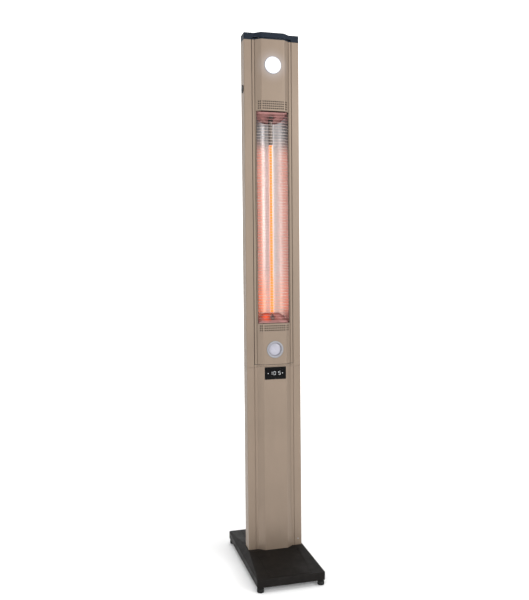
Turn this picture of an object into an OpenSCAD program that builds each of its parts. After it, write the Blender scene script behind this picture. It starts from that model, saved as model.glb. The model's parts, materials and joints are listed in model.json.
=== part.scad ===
// Infrared patio heater tower: a long heater head hung between two posts, which turn as one frame on a
// lower column with a display and a weighted base. Millimetres, Z up, display towards -Y.
// Origin: centre of the base, at the floor.

/* [Overall] */
// Height from the floor to the top of the handle
total_h = 2000; // [1900:10:2100]
// Width across the two side posts
body_w = 210; // [200:2:230]
// Width of one side post
post_w = 29; // [27:1:32]
// Depth of one side post
post_d = 50; // [48:1:56]
// Wall of a side post
post_wall = 2; // [1.5:0.5:3]
// Half width of the flat middle of the front
facet_half = 44; // [43:1:48]
// How far the flat middle stands in front of the posts
bulge = 18; // [16:1:22]
// Width of the flat strip beside each post
lip_w = 10; // [8:1:12]

/* [Levels] */
// Height of the seam where the upper frame turns on the lower column
seam_z = 764; // [740:2:790]
// Depth of the head's pivot below the handle's top
pivot_drop = 200; // [190:2:210]
// Height of the posts' lower end above the floor
column_z = 60; // [56:1:62]

/* [Base] */
// Width of the base
base_w = 252; // [244:2:280]
// Length of the base, front to back
base_l = 480; // [460:10:540]
// Height of the upright rim of the base
rim_h = 28; // [26:1:32]
// Height of the base cover's top above the floor
cover_top = 70; // [68:1:74]
// Wall of the base cover
cover_wall = 3; // [2:0.5:4]
// Height of a rubber foot
foot_h = 20; // [18:1:22]
// Radius of a rubber foot
foot_r = 12.5; // [11:0.5:14]
// Distance from the base's edge to a foot's centre
foot_inset = 14; // [14:1:20]
// Thickness of one ballast slab
ballast_t = 20; // [16:1:21]

/* [Heater] */
// Wall of the head's body and of the panels
head_wall = 2; // [1.5:0.5:2.5]
// Depth of the opening's top edge below the handle's top
opening_drop = 284; // [282:2:300]
// Height of the opening's bottom edge above the seam
opening_rise = 166; // [164:2:190]
// Outer radius of the quartz tube
tube_r = 7; // [6:0.5:8]
// Depth of the quartz tube's axis behind the posts' front
tube_depth = 21; // [18:1:24]
// Spacing of the guard wires
wire_pitch = 10.5; // [9:0.5:13]
// Thickness of a guard wire
wire_t = 2; // [1.2:0.2:2.4]
// Depth of the upper lamp below the handle's top
lamp_drop = 118; // [110:1:122]
// Height of the lower lamp above the seam
lamp_rise = 68; // [64:1:76]
// Outer radius of a lamp's ring
lamp_r = 32; // [30:1:34]
// Radius of a lamp's lens
lens_r = 24; // [22:1:26]

/* [Display] */
// Height of the display's top edge above the seam, on the fixed panel's raised middle
display_rise = 2.5; // [0:0.5:2.5]
// Width of the display
display_w = 83; // [70:1:84]
// Height of the display
display_h = 47; // [40:1:50]

/* [Handle] */
// Thickness of the handle over the posts
handle_end_t = 25; // [22:1:28]
// Thickness of the handle between the posts
handle_mid_t = 12; // [10:1:13]

/* [Swivel and pivot] */
// Outer radius of the hollow swivel spindle
spindle_r = 15; // [14:0.5:16]
// Bore radius of the swivel spindle
spindle_bore = 10; // [8:0.5:11]
// Radius of a head pivot pin
pin_r = 8; // [6.5:0.5:8]
// Bore radius of a head pivot pin
pin_bore = 4; // [3.5:0.5:4.5]
// Radius of a stop pin
stop_r = 3; // [2.5:0.5:3]
// Largest opening angle of the head, in degrees
head_swing = 102; // [90:1:104]
// Radius of the cap over a pivot pin
pivot_cap_r = 15; // [14:0.5:16]
// Radius of the cord's bore in the cable gland
gland_bore = 4.5; // [4:0.5:5]

/* [Hidden] */

// A wire's bend, as a share of the wire
knuckle_share = 1.12;
// Fineness of round parts, small round parts and hulled corners
fine = 64;
coarse = 32;
// Overrun of every cut, running clearance of a shaft, and clearance of a loose fit
cut = 1;
run_clear = 0.05;
fit_clear = 0.3;
sides = [-1, 1];

// Colours
paint = "#9b8c7f";
black = "#1d1f23";
steel = "#8f9296";
alu = "#b9bcc0";
green = "#1f5a3a";

// Cross-section of the body
half_w = body_w / 2;
post_in = half_w - post_w;
post_mid = half_w - post_w / 2;
half_d = post_d / 2;
front_y = half_d + bulge;
side_gap = 1.8;
head_half = post_in - side_gap;
chamfer_x = post_in - lip_w;
front_turn = atan(bulge / (chamfer_x - facet_half));
side_turn = atan((head_half - facet_half) / bulge);

// Levels
pivot_z = total_h - pivot_drop;
opening_top = total_h - opening_drop;
opening_bottom = seam_z + opening_rise;
lamp_top_z = total_h - lamp_drop;
lamp_low_z = seam_z + lamp_rise;
display_z = seam_z + display_rise - display_h / 2;
seam_gap = 0.4;
panel_over = 5;
lid_gap = 0.6;
lid_t = 4.4;
panel_top = seam_z + panel_over;
lid_z0 = panel_top + lid_gap;
lid_z1 = lid_z0 + lid_t;
swing_clear = 0.6;
handle_clear = 3.9;
cap_t = 4;
low_cap_t = 1;
long_r = pivot_z - lid_z1 - swing_clear;
short_r = total_h - handle_mid_t - handle_clear - pivot_z;
head_z0 = pivot_z - sqrt(long_r * long_r - front_y * front_y);
head_z1 = pivot_z + sqrt(short_r * short_r - front_y * front_y);
shell_z0 = head_z0 + low_cap_t;
shell_z1 = head_z1 - cap_t;
post_top = total_h - handle_end_t;
upper_z = seam_z + seam_gap;

// Base
rim_top = foot_h + rim_h;
base_corner_r = 9;
base_top_margin = 3;
field_half = 77;
field_depth = 1.6;
plate_t = 3;
plate_top = foot_h + plate_t;
riser_wall = 3;
riser_top_t = 4;
riser_w = body_w - 4 * post_wall;
riser_d = post_d + 1.6 * bulge;
riser_bore = 16;
tilt_bay = 32;
riser_door_w = 24;
riser_door_h = 20;
ballast_gap = 12;
ballast_side = 15;
ballast_end = 5.6;
ballast_w = base_w / 2 - cover_wall - ballast_gap - ballast_side;
ballast_y = riser_d / 2 + tilt_bay;
ballast_r = 4;
ballast_bolt_r = 4;
ballast_head_r = 7;
ballast_head_h = 5;
foot_neck_r = 9;
foot_neck_h = 5;
foot_round = 2;
foot_screw_r = 2.5;
foot_head_r = 5;
foot_head_h = 3;
foot_well = 8;
foot_nut_h = 4;
foot_x = base_w / 2 - foot_inset;
foot_y = base_l / 2 - foot_inset;
tilt_size = [30, 18, 16];
tilt_x = 60;

// Cable gland and supply lead
gland_inset = 20;
gland_y = base_l / 2 - gland_inset;
gland_r = 8;
gland_head_t = 5;
gland_nut_r = 11;
gland_nut_t = 4;
ballast_l = gland_y - gland_nut_r - ballast_end - ballast_y;
gland_in = 8;
gland_out = 8;
lead_r = 4;
lead_low = plate_top + gland_in + 1.25 * lead_r;
lead_high = 96;

// Column internals
plug_clear = 0.2;
plug_h = 60;
bolt_r = 4;
bolt_head_r = 6.5;
bolt_head_h = 5;
bolt_len = 40;
bolt_y = 12;
flange_d = 20;
panel_screw_r = 2;
panel_head_r = 3.6;
panel_head_t = 1.8;
panel_screw_len = 8;
panel_shares = [0.12, 0.5, 0.88];

// Display
frame_lip = 1.2;
frame_wall = 1.2;
frame_ledge = 1;
frame_proud = 0.8;
frame_depth = 5.5;
board_drop = 8;
window_t = 2;
digit_h = 14.5;
digit_w = 9;
stroke = 1.1;
digit_t = 0.5;
digit_first = -16.5;
digit_step = 13.7;
digit_space = 4.9;
dot_r = 1.3;
dot_x = 28;
board_t = 1.6;
chip_h = 3;

// Power board and terminal block
power_w = 84;
power_h = 130;
power_z = 530;
spacer_h = 6;
spacer_r = 3;
spacer_inset = 7;
relay_size = [20, 15, 16];
core_size = [44, 24, 36];
term_size = [40, 16, 20];
term_z = 110;
term_n = 4;
term_screw_r = 2.4;
term_screw_t = 1.2;
wire_r = 2.6;

// Swivel
top_plate_t = 5;
top_plate_z1 = seam_z - seam_gap;
top_plate_z0 = top_plate_z1 - top_plate_t;
washer_t = 2;
spindle_flange_r = 36;
spindle_flange_z0 = top_plate_z1 + washer_t;
cross_lift = 0.4;
cross_z0 = lid_z0 + cross_lift;
cross_t = 2.6;
cross_z1 = cross_z0 + cross_t;
cross_w = 36;
cross_reach = half_w - 3.5 * post_wall;
cable_slot_w = 13;
fascia_t = 1.5;
fascia_rise = 1;
fascia_leg_x = sqrt(pow(chamfer_x, 2) + pow(half_d, 2) - pow(half_d - fascia_t, 2)) + swing_clear;
bearing_r = 28;
bearing_h = 58;
bearing_z0 = top_plate_z0 - bearing_h;
bush_wall = 3;
bush_h = 16;
bush_flange_r = 22;
bush_flange_t = 2;
nut_r = 21;
nut_t = 6;
nut_gap = 1;
spindle_end = 4;
spindle_z0 = bearing_z0 - bush_flange_t - 2 * nut_t - nut_gap - spindle_end;
stop_circle = 29;
stop_up = 4.2;
spindle_screw_circle = 20.5;
spindle_screw_r = 2;

// Posts and pivot
block_h = 70;
block_clear = 0.2;
pin_head_r = 12;
pin_head_t = 4;
pivot_bush_wall = 3;
pivot_plate_t = 4;
pivot_plate_h = 80;
pivot_flange_r = 14;
pivot_flange_t = 1.5;
pivot_nut_r = pin_r + 4.5 * post_wall / 2;
pivot_nut_t = 6;
pin_end = 3;
head_stop_circle = 19;
cap_proud = 3;
cap_spigot_r = 9;
cap_spigot = 1.6;
post_plug_h = 90;
screw_r = 2.5;
screw_head_r = 4.4;
screw_y = 12;
screw_low = 33;
screw_high = 78;
handle_plug_h = 30;
handle_chamfer = 3;
handle_fillet = 6;
handle_screw_drop = 16;
cable_r = 2.6;
flat_cable_w = 12;
flat_cable_t = 2;

// Head
groove = 1.2;
panel_flange = 12;
opening_edge = 4;
opening_half = chamfer_x - opening_edge;
vent_size = 4.2;
vent_pitch_x = 7.6;
vent_pitch_z = 8.4;
vent_rows = 4;
vent_low_rows = 3;
vent_margin = 9;
vent_cols = 11;
vent_side_cols = 2;
cap_plug_t = 2;
cap_plug_h = 12;
cap_plug_gap = 0.3;
mouth_inset = 0.4;
mouth_y = -half_d + mouth_inset;
reflector_t = 1;
reflector_back = 15;
end_plate_h = 38;
end_plate_t = 1.2;
tube_y = -half_d + tube_depth;
tube_wall = 1.2;
tube_end_top = 26;
tube_end_low = 26;
element_r = 2.6;
cold_end = 92;
cold_low = 14;
socket_wall = 2.5;
socket_r = tube_r + socket_wall;
strap_w = 12;
strap_t = 3;
strap_gap = 2;
grille_in = 0.4;
rail_w = 3;
lamp_flange_t = 2;
lamp_recess = 8;
lamp_body_h = 14;
fin_t = 1.5;
fin_n = 5;

// Basic shapes
module box(w, d, z0, z1) translate([-w / 2, -d / 2, z0]) cube([w, d, z1 - z0]);
module rod(r, z0, z1, $fn = fine) translate([0, 0, z0]) cylinder(r = r, h = z1 - z0);
module ring(r, r_in, z0, z1) difference() { rod(r, z0, z1); rod(r_in, z0 - cut, z1 + cut); }
module along_x(x, y, z) translate([x, y, z]) rotate([0, 90, 0]) children();
module along_y(x, y, z) translate([x, y, z]) rotate([-90, 0, 0]) children();
module both_sides() for (s = sides) mirror([s < 0 ? 1 : 0, 0, 0]) children();
module both_ends() for (s = sides) mirror([0, s < 0 ? 1 : 0, 0]) children();
module rounded(w, d, r) {
    translate([-w / 2 + r, -d / 2]) square([w - 2 * r, d]);
    translate([-w / 2, -d / 2 + r]) square([w, d - 2 * r]);
    for (x = sides, y = sides) translate([x * (w / 2 - r), y * (d / 2 - r)]) circle(r = r, $fn = coarse);
}

// Points of the front outline: flat strips at the sides, chamfers and a flat middle, inset by a wall
function front_line(hx, wall) = let(k = wall * tan(front_turn / 2)) [
    [-hx + wall, -half_d + wall], [-chamfer_x + k, -half_d + wall], [-facet_half + k, -front_y + wall],
    [facet_half - k, -front_y + wall], [chamfer_x - k, -half_d + wall], [hx - wall, -half_d + wall]
];
// Points of the plain back outline: chamfers and a flat middle, inset by a wall
function back_line(hx, wall) = let(
    k = wall * tan((90 - side_turn) / 2),
    m = wall * tan(side_turn / 2)
) [
    [hx - wall, half_d - m], [facet_half - k, front_y - wall],
    [-facet_half + k, front_y - wall], [-hx + wall, half_d - m]
];
module octagon(hx, wall) polygon(concat(front_line(hx, wall), back_line(hx, wall)));

// A bent strip that follows the front outline between two insets, out to a half width
module front_strip(hx, outer, inner) {
    polygon(concat(front_line(hx, outer), [for (i = [5:-1:0]) [
        front_line(hx, inner)[i][0] + (i == 0 ? outer - inner : i == 5 ? inner - outer : 0),
        front_line(hx, inner)[i][1]
    ]]));
}

// A round wire through a list of points
module wire(points, r) for (i = [0:len(points) - 2]) {
    step = points[i + 1] - points[i];
    translate(points[i]) rotate([0, acos(step[2] / norm(step)), atan2(step[1], step[0])])
        cylinder(r = r, h = norm(step), $fn = coarse);
    if (i > 0) translate(points[i]) sphere(r = knuckle_share * r, $fn = coarse);
}

// Base
module base_slab(w, l, r, z, t) translate([0, 0, z]) linear_extrude(t) rounded(w, l, r);
module base_solid(inset) {
    top_w = body_w + 2 * base_top_margin - 2 * inset;
    top_l = 2 * (front_y + base_top_margin) - 2 * inset;
    skin = run_clear;
    base_slab(base_w - 2 * inset, base_l - 2 * inset, base_corner_r, foot_h, rim_h - inset);
    hull() {
        base_slab(base_w - 2 * inset, base_l - 2 * inset, base_corner_r, rim_top - inset - skin, skin);
        base_slab(top_w, top_l, base_corner_r, cover_top - inset - skin, skin);
    }
}
module base_cover() color(black) difference() {
    base_solid(0);
    base_solid(cover_wall);
    base_slab(base_w - 2 * cover_wall, base_l - 2 * cover_wall, base_corner_r, foot_h - cut, 2 * cut);
    translate([0, 0, cover_top - 2 * cover_wall]) linear_extrude(cover_wall * 3) {
        square([body_w + 2 * fit_clear, post_d + 2 * fit_clear], center = true);
        both_ends() polygon([
            [-chamfer_x - fit_clear, -half_d], [-facet_half - fit_clear, -front_y - fit_clear],
            [facet_half + fit_clear, -front_y - fit_clear], [chamfer_x + fit_clear, -half_d]
        ]);
    }
    both_ends() base_field();
}
// Shallow field in the middle of the sloped top, in front of the column
module base_field() {
    inner_y = -front_y - 2 * base_top_margin;
    outer_y = -base_l / 2 + 2 * base_top_margin;
    slope = (cover_top - rim_top) / (base_l / 2 - front_y - base_top_margin);
    hull() {
        for (p = [[inner_y, cover_top - slope * base_top_margin],
            [outer_y, rim_top + slope * 2 * base_top_margin]])
            translate([-field_half, p[0] - run_clear, p[1] - field_depth])
                cube([2 * field_half, 2 * run_clear, field_depth + cut]);
    }
}
module base_plate() color(steel) difference() {
    base_slab(base_w - 2 * cover_wall, base_l - 2 * cover_wall, base_corner_r, foot_h, plate_t);
    translate([0, gland_y, 0]) rod(gland_r + run_clear, foot_h - cut, plate_top + cut);
    at_feet() rod(foot_screw_r + fit_clear, foot_h - cut, plate_top + cut);
    at_ballast() at_ballast_bolts() rod(ballast_bolt_r + fit_clear, foot_h - cut, plate_top + cut);
}
module base_riser() color(steel) difference() {
    box(riser_w, riser_d, plate_top, column_z);
    box(riser_w - 2 * riser_wall, riser_d - 2 * riser_wall, plate_top - cut, column_z - riser_top_t);
    rod(riser_bore, column_z - riser_top_t - cut, column_z + cut);
    translate([0, riser_d / 2, 0]) box(riser_door_w, 4 * riser_wall, plate_top - cut,
        plate_top + riser_door_h);
    at_column_bolts() rod(bolt_r + fit_clear, column_z - riser_top_t - cut, column_z + cut);
}
module at_ballast() for (x = sides, y = sides) translate([
    x * (ballast_w / 2 + ballast_gap), y * (ballast_y + ballast_l / 2), 0
]) children();
module at_ballast_bolts() for (y = sides) translate([0, y * ballast_l / 3, 0]) children();
module ballast_weights() color("#3a3b3d") at_ballast() difference() {
    base_slab(ballast_w, ballast_l, ballast_r, plate_top, ballast_t);
    at_ballast_bolts() rod(ballast_bolt_r + fit_clear, plate_top - cut, plate_top + ballast_t + cut);
}
module ballast_bolts() color(steel) at_ballast() at_ballast_bolts() {
    rod(ballast_bolt_r, foot_h, plate_top + ballast_t, $fn = coarse);
    rod(ballast_head_r, foot_h - ballast_head_h, foot_h, $fn = 6);
    rod(ballast_head_r, plate_top + ballast_t, plate_top + ballast_t + ballast_head_h, $fn = 6);
}
module at_feet() for (x = sides, y = sides) translate([x * foot_x, y * foot_y, 0]) children();
module rubber_feet() color("#141414") at_feet() rotate_extrude($fn = fine) polygon([
    [foot_head_r + fit_clear, 0], [foot_r - foot_round, 0], [foot_r, foot_round],
    [foot_r, foot_h - foot_neck_h], [foot_neck_r, foot_h - foot_neck_h], [foot_neck_r, foot_h],
    [foot_screw_r + fit_clear, foot_h], [foot_screw_r + fit_clear, foot_well],
    [foot_head_r + fit_clear, foot_well]
]);
module foot_screws() color(steel) at_feet() {
    rod(foot_screw_r, foot_well - foot_head_h, plate_top + foot_nut_h, $fn = coarse);
    rod(foot_head_r, foot_well - foot_head_h, foot_well, $fn = coarse);
    rod(foot_head_r, plate_top, plate_top + foot_nut_h, $fn = 6);
}
module tilt_switch() color("#e8e6df") translate([-tilt_x, riser_d / 2 + tilt_size[1], 0]) {
    box(tilt_size[0], tilt_size[1], plate_top, plate_top + tilt_size[2]);
    for (x = sides) translate([x * (tilt_size[0] / 2 - spacer_r), 0, 0])
        rod(spacer_r, plate_top, plate_top + tilt_size[2] + panel_head_t);
}

// Supply
module cable_gland() color(black) translate([0, gland_y, 0]) difference() {
    union() {
        rod(gland_nut_r, foot_h - gland_head_t, foot_h, $fn = 6);
        rod(gland_r, foot_h - gland_out, plate_top + gland_in);
        rod(gland_nut_r, plate_top, plate_top + gland_nut_t, $fn = 6);
    }
    rod(gland_bore, foot_h - gland_out - cut, plate_top + gland_in + cut);
}
module supply_lead() color(black) wire([
    [0, gland_y, plate_top + gland_in], [0, gland_y, lead_low], [0, 2 * lead_r, lead_low],
    [0, 2 * lead_r, lead_high], [0, back_in - term_size[1] / 2, lead_high],
    [0, back_in - term_size[1] / 2, term_z]
], lead_r);

// Lower column
module post(z0, z1) difference() {
    translate([post_mid, 0, z0]) linear_extrude(z1 - z0) rounded(post_w, post_d, post_wall);
    translate([post_mid, 0, 0]) box(post_w - 2 * post_wall, post_d - 2 * post_wall, z0 - cut, z1 + cut);
}
module in_post(clear, z0, z1) translate([post_mid, 0, 0])
    box(post_w - 2 * post_wall - 2 * clear, post_d - 2 * post_wall - 2 * clear, z0, z1);
module at_column_bolts() both_sides() both_ends() translate([post_mid, bolt_y, 0]) children();
module column_plugs() color(alu) difference() {
    both_sides() in_post(plug_clear, column_z, column_z + plug_h);
    at_column_bolts() rod(bolt_r + run_clear, column_z - cut, column_z + bolt_len + cut);
}
module column_bolts() color(steel) at_column_bolts() {
    rod(bolt_r, column_z - riser_top_t, column_z + bolt_len, $fn = coarse);
    rod(bolt_head_r, column_z - riser_top_t - bolt_head_h, column_z - riser_top_t, $fn = 6);
}
module lower_post() difference() {
    post(column_z, seam_z);
    panel_screw_holes();
}
module lower_post_left() color(paint) mirror([1, 0, 0]) lower_post();
module lower_post_right() color(paint) lower_post();
function panel_level(share) = column_z + share * (seam_z - column_z);
module at_panel_screws() for (share = panel_shares) both_ends()
    along_x(post_in, half_d - flange_d / 2, panel_level(share)) children();
module panel_screw_holes() at_panel_screws()
    rod(panel_screw_r + run_clear, -cut - head_wall, post_wall + cut);
module panel_screws() color(steel) both_sides() at_panel_screws() {
    rod(panel_screw_r, -head_wall, panel_screw_len - head_wall, $fn = coarse);
    rod(panel_head_r, -head_wall - panel_head_t, -head_wall, $fn = coarse);
}
// One bent lower panel with its side flanges; its middle rises over the seam, inside the turning posts
module lower_panel() difference() {
    union() {
        translate([0, 0, column_z]) linear_extrude(panel_top - column_z)
            front_strip(post_in + head_wall, 0, head_wall);
        both_sides() translate([post_in - head_wall, -half_d, column_z])
            cube([head_wall, flange_d, seam_z - column_z]);
    }
    both_sides() translate([chamfer_x, -front_y, seam_z]) cube([post_w + lip_w, front_y, panel_over + cut]);
    both_sides() translate([post_in, -front_y, column_z - cut]) cube([post_w, front_y, panel_top]);
    both_sides() translate([post_in - groove, -front_y, column_z - cut])
        cube([post_w, bulge + 0.75 * head_wall, panel_top]);
    both_sides() panel_screw_holes();
}
module lower_front_panel() color(paint) difference() {
    lower_panel();
    translate([0, -front_y, 0]) box(display_w - 2 * frame_lip + 2 * fit_clear, 4 * head_wall,
        display_z - display_h / 2 + frame_lip - fit_clear,
            display_z + display_h / 2 - frame_lip + fit_clear);
}
module lower_back_panel() color(paint) mirror([0, 1, 0]) lower_panel();

// Display: a thin frame around a glossy window, lit digits and the board behind
module on_display() translate([0, -front_y, display_z]) rotate([90, 0, 0]) children();
module window_shape(inset) square([display_w - 2 * inset, display_h - 2 * inset], center = true);
module display_frame() color(black) on_display() difference() {
    union() {
        linear_extrude(frame_proud) rounded(display_w, display_h, frame_lip);
        translate([0, 0, -frame_depth]) linear_extrude(frame_depth + frame_proud / 2)
            window_shape(frame_lip);
    }
    translate([0, 0, -frame_depth - cut]) linear_extrude(frame_depth + 2 * cut)
        window_shape(frame_lip + frame_wall + frame_ledge);
    translate([0, 0, frame_proud - window_t]) linear_extrude(window_t + cut)
        window_shape(frame_lip + frame_wall);
}
module display_window() color("#050505") on_display() translate([0, 0, frame_proud - window_t])
    linear_extrude(window_t - digit_t / 2) window_shape(frame_lip + frame_wall + run_clear);
// Seven-segment digits: which of the segments a to g are lit
function segments(n) = n == 1 ? [1, 2] : n == 0 ? [0, 1, 2, 3, 4, 5] : [0, 2, 3, 5, 6];
module segment(i) {
    long = digit_h / 2 - stroke;
    place = [
        [0, 1, 0], [1, 0.5, 1], [1, -0.5, 1], [0, -1, 0], [-1, -0.5, 1], [-1, 0.5, 1], [0, 0, 0]
    ][i];
    translate([place[0] * digit_w / 2, place[1] * digit_h / 2]) rotate(90 * place[2])
        square([place[2] == 0 ? digit_w - stroke : long, stroke], center = true);
}
module display_digits() color("white") on_display()
    translate([0, 0, frame_proud - digit_t / 2]) linear_extrude(digit_t / 2) {
        for (d = [[1, 0], [0, digit_step], [5, 2 * digit_step + digit_space]])
            translate([digit_first + d[1], 0]) for (i = segments(d[0])) segment(i);
        for (x = sides) translate([x * dot_x, 0]) circle(r = dot_r, $fn = coarse);
    }
module control_board() color(green) on_display() translate([0, 0, -frame_depth - board_t]) {
    linear_extrude(board_t) difference() {
        window_shape(frame_lip);
        translate([0, display_h]) square([2 * display_w, display_h + 2 * board_drop], center = true);
    }
    translate([-display_w / 4, 0, -chip_h]) linear_extrude(chip_h)
        square([display_h / 2, display_h / 3], center = true);
    translate([display_w / 4, 0, -chip_h]) linear_extrude(chip_h)
        square([display_h / 4, display_h / 2], center = true);
}

// Power board, its parts and the terminal block, on the back panel
back_in = front_y - head_wall;
board_y = back_in - spacer_h - board_t;
module power_board() color(green) {
    difference() {
        translate([-power_w / 2, board_y, power_z]) cube([power_w, board_t, power_h]);
        at_spacers() rod(panel_screw_r, -cut, board_t + cut);
    }
    at_spacers() translate([0, 0, board_t]) ring(spacer_r, panel_screw_r, 0, spacer_h);
}
module at_spacers() for (x = sides, z = sides) along_y(
    x * (power_w / 2 - spacer_inset), board_y, power_z + power_h / 2 + z * (power_h / 2 - spacer_inset)
) children();
module board_parts() color("#26303c") {
    translate([-core_size[0] / 2, board_y - core_size[1], power_z + spacer_inset]) cube(core_size);
    for (x = sides) translate([
        x * (power_w / 2 - relay_size[0]) - relay_size[0] / 2, board_y - relay_size[2],
        power_z + power_h / 2 + relay_size[1]
    ]) cube([relay_size[0], relay_size[2], relay_size[1]]);
    at_spacers() {
        rod(spacer_r, -panel_head_t, 0, $fn = coarse);
        rod(panel_screw_r - run_clear, 0, board_t + spacer_h, $fn = coarse);
    }
}
module terminal_block() color("#e9e4d8") translate([0, back_in, term_z]) difference() {
    translate([-term_size[0] / 2, -term_size[1], 0]) cube(term_size);
    for (i = [0:term_n - 1]) along_y(
        (i + 0.5) * term_size[0] / term_n - term_size[0] / 2, -term_size[1] - cut, term_size[2] / 2
    ) rod(term_screw_r, 0, term_screw_t + cut, $fn = coarse);
}
module column_harness() color("#23272b") {
    z = power_z + power_h - spacer_inset;
    wire([[0, back_in - term_size[1] / 2, term_z + term_size[2]],
        [0, back_in - term_size[1] / 2, power_z]], wire_r);
    wire([[0, board_y, z], [0, 0, z], [0, 0, spindle_flange_z0]], wire_r);
}

// Swivel, fixed half
module column_top_plate() color(steel) difference() {
    translate([0, 0, top_plate_z0]) linear_extrude(top_plate_t) difference() {
        polygon(concat(front_line(post_in, head_wall),
            [for (p = front_line(post_in, head_wall)) [-p[0], -p[1]]]));
        translate([0, -front_y]) square([display_w + 2 * cut, 2 * (frame_depth + board_t + cut)],
            center = true);
    }
    rod(spindle_r + cut, top_plate_z0 - cut, top_plate_z1 + cut);
    rotate(180) translate([stop_circle, 0, 0])
        rod(stop_r + run_clear, top_plate_z0 - cut, top_plate_z1 + cut);
}
module bearing_block() color(alu) difference() {
    rod(bearing_r, bearing_z0, top_plate_z0);
    rod(spindle_r + bush_wall + run_clear, bearing_z0 - cut, top_plate_z0 + cut);
}
module swivel_bushes() color("#e4e0d2") {
    ring(spindle_r + bush_wall, spindle_r + run_clear, bearing_z0, bearing_z0 + bush_h);
    ring(bush_flange_r, spindle_r + run_clear, bearing_z0 - bush_flange_t, bearing_z0);
    ring(spindle_r + bush_wall, spindle_r + run_clear, top_plate_z0 - bush_h, top_plate_z0);
}
module thrust_washer() color("#d8cfae") difference() {
    ring(spindle_flange_r, spindle_r + cut, top_plate_z1, spindle_flange_z0);
    rotate(180) translate([stop_circle, 0, 0])
        rod(stop_r + run_clear, top_plate_z1 - cut, spindle_flange_z0 + cut);
}
module swivel_stop_pin() color(steel) rotate(180) translate([stop_circle, 0, 0])
    rod(stop_r, top_plate_z0, spindle_flange_z0 + stop_up);

// Swivel, turning half
module arc_slot(circle_r, half, z0, z1, from, angle) {
    rotate(from) translate([0, 0, z0]) rotate_extrude(angle = angle, $fn = fine)
        translate([circle_r - half, 0]) square([2 * half, z1 - z0]);
    for (a = [from, from + angle]) rotate(a) translate([circle_r, 0, 0]) rod(half, z0, z1);
}
module at_spindle_screws() for (a = [45:90:315]) rotate(a) translate([spindle_screw_circle, 0, 0])
    children();
module swivel_spindle() color(steel) difference() {
    union() {
        rod(spindle_r, spindle_z0, spindle_flange_z0 + run_clear);
        rod(spindle_flange_r, spindle_flange_z0, cross_z0);
    }
    rod(spindle_bore, spindle_z0 - cut, cross_z0 + cut);
    arc_slot(stop_circle, stop_r + fit_clear, spindle_flange_z0 - cut, cross_z0 + cut, 0, 180);
    at_spindle_screws() rod(spindle_screw_r + run_clear, spindle_flange_z0 - cut, cross_z0 + cut);
}
module swivel_fasteners() color(steel) {
    at_spindle_screws() rod(spindle_screw_r, spindle_flange_z0, cross_z1, $fn = coarse);
    for (i = [0, 1]) {
        z1 = bearing_z0 - bush_flange_t - i * (nut_t + nut_gap);
        difference() {
            rod(nut_r, z1 - nut_t, z1, $fn = 8);
            rod(spindle_r + run_clear, z1 - nut_t - cut, z1 + cut);
        }
        if (i == 0) ring(spindle_r + bush_wall, spindle_r + run_clear, z1 - nut_t - nut_gap, z1 - nut_t);
    }
}
module crossbar() color(paint) difference() {
    box(2 * cross_reach, cross_w, cross_z0, cross_z1);
    rod(spindle_bore, cross_z0 - cut, cross_z1 + cut);
    translate([-cross_reach - cut, -cable_slot_w / 2, cross_z0 - cut])
        cube([cross_reach + cut, cable_slot_w, cross_t + 2 * cut]);
    at_spindle_screws() rod(spindle_screw_r + run_clear, cross_z0 - cut, cross_z1 + cut);
}
module crossbar_lid() color(black) difference() {
    translate([0, 0, lid_z0]) linear_extrude(lid_t) octagon(post_in, fascia_t);
    translate([0, 0, lid_z0 - cut]) linear_extrude(cross_z1 - lid_z0 + cut)
        square([body_w, cross_w + 2 * fit_clear], center = true);
    rod(spindle_flange_r + fit_clear, lid_z0 - cut, cross_z0);
}
// Coloured strip before the lid; its ends reach down to the seam, clear of the fixed panel as it turns
module crossbar_fascia() color(paint) difference() {
    translate([0, 0, upper_z]) linear_extrude(lid_z1 + fascia_rise - upper_z) intersection() {
        front_strip(post_in, 0, fascia_t);
        square([2 * (post_in - fit_clear), 4 * front_y], center = true);
    }
    box(2 * fascia_leg_x, 4 * front_y, upper_z - cut, lid_z0);
}
module at_post_screws(levels) for (z = levels) both_ends() along_x(post_in, screw_y, z) children();
post_screw_levels = [upper_z + screw_low, upper_z + screw_high];
handle_screw_levels = [post_top - handle_screw_drop];
module post_plugs() color(alu) difference() {
    both_sides() in_post(plug_clear, upper_z, upper_z + post_plug_h);
    box(2 * cross_reach + fit_clear, cross_w + fit_clear, cross_z0, cross_z1);
    both_sides() at_post_screws(post_screw_levels) rod(screw_r + run_clear, 0, post_w);
    translate([-post_mid, 0, 0]) rod(cable_r + fit_clear + cable_slot_w / 4, upper_z - cut,
        upper_z + post_plug_h + cut);
}
module post_screws() color(black) both_sides()
    at_post_screws(concat(post_screw_levels, handle_screw_levels)) {
        rod(screw_r, 0, post_w / 2, $fn = coarse);
        cylinder(r1 = screw_head_r, r2 = screw_r, h = post_wall, $fn = coarse);
    }
module upper_post() difference() {
    post(upper_z, post_top);
    translate([post_in - cut, -cross_w / 2 - fit_clear / 2, cross_z0])
        cube([post_wall + 2 * cut, cross_w + fit_clear, cross_t]);
    at_post_screws(concat(post_screw_levels, handle_screw_levels)) {
        translate([0, 0, -cut]) rod(screw_r + run_clear, 0, post_wall + 2 * cut);
        cylinder(r1 = screw_head_r + run_clear, r2 = screw_r + run_clear, h = post_wall, $fn = fine);
    }
    at_pivot() {
        rod(pin_r + run_clear, post_in - cut, post_mid);
        rod(pin_head_r + run_clear, post_mid, half_w + cut);
    }
    at_head_stop() rod(stop_r + run_clear, post_in - cut, post_mid);
}
module at_pivot() translate([0, 0, pivot_z]) rotate([0, 90, 0]) children();
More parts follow.
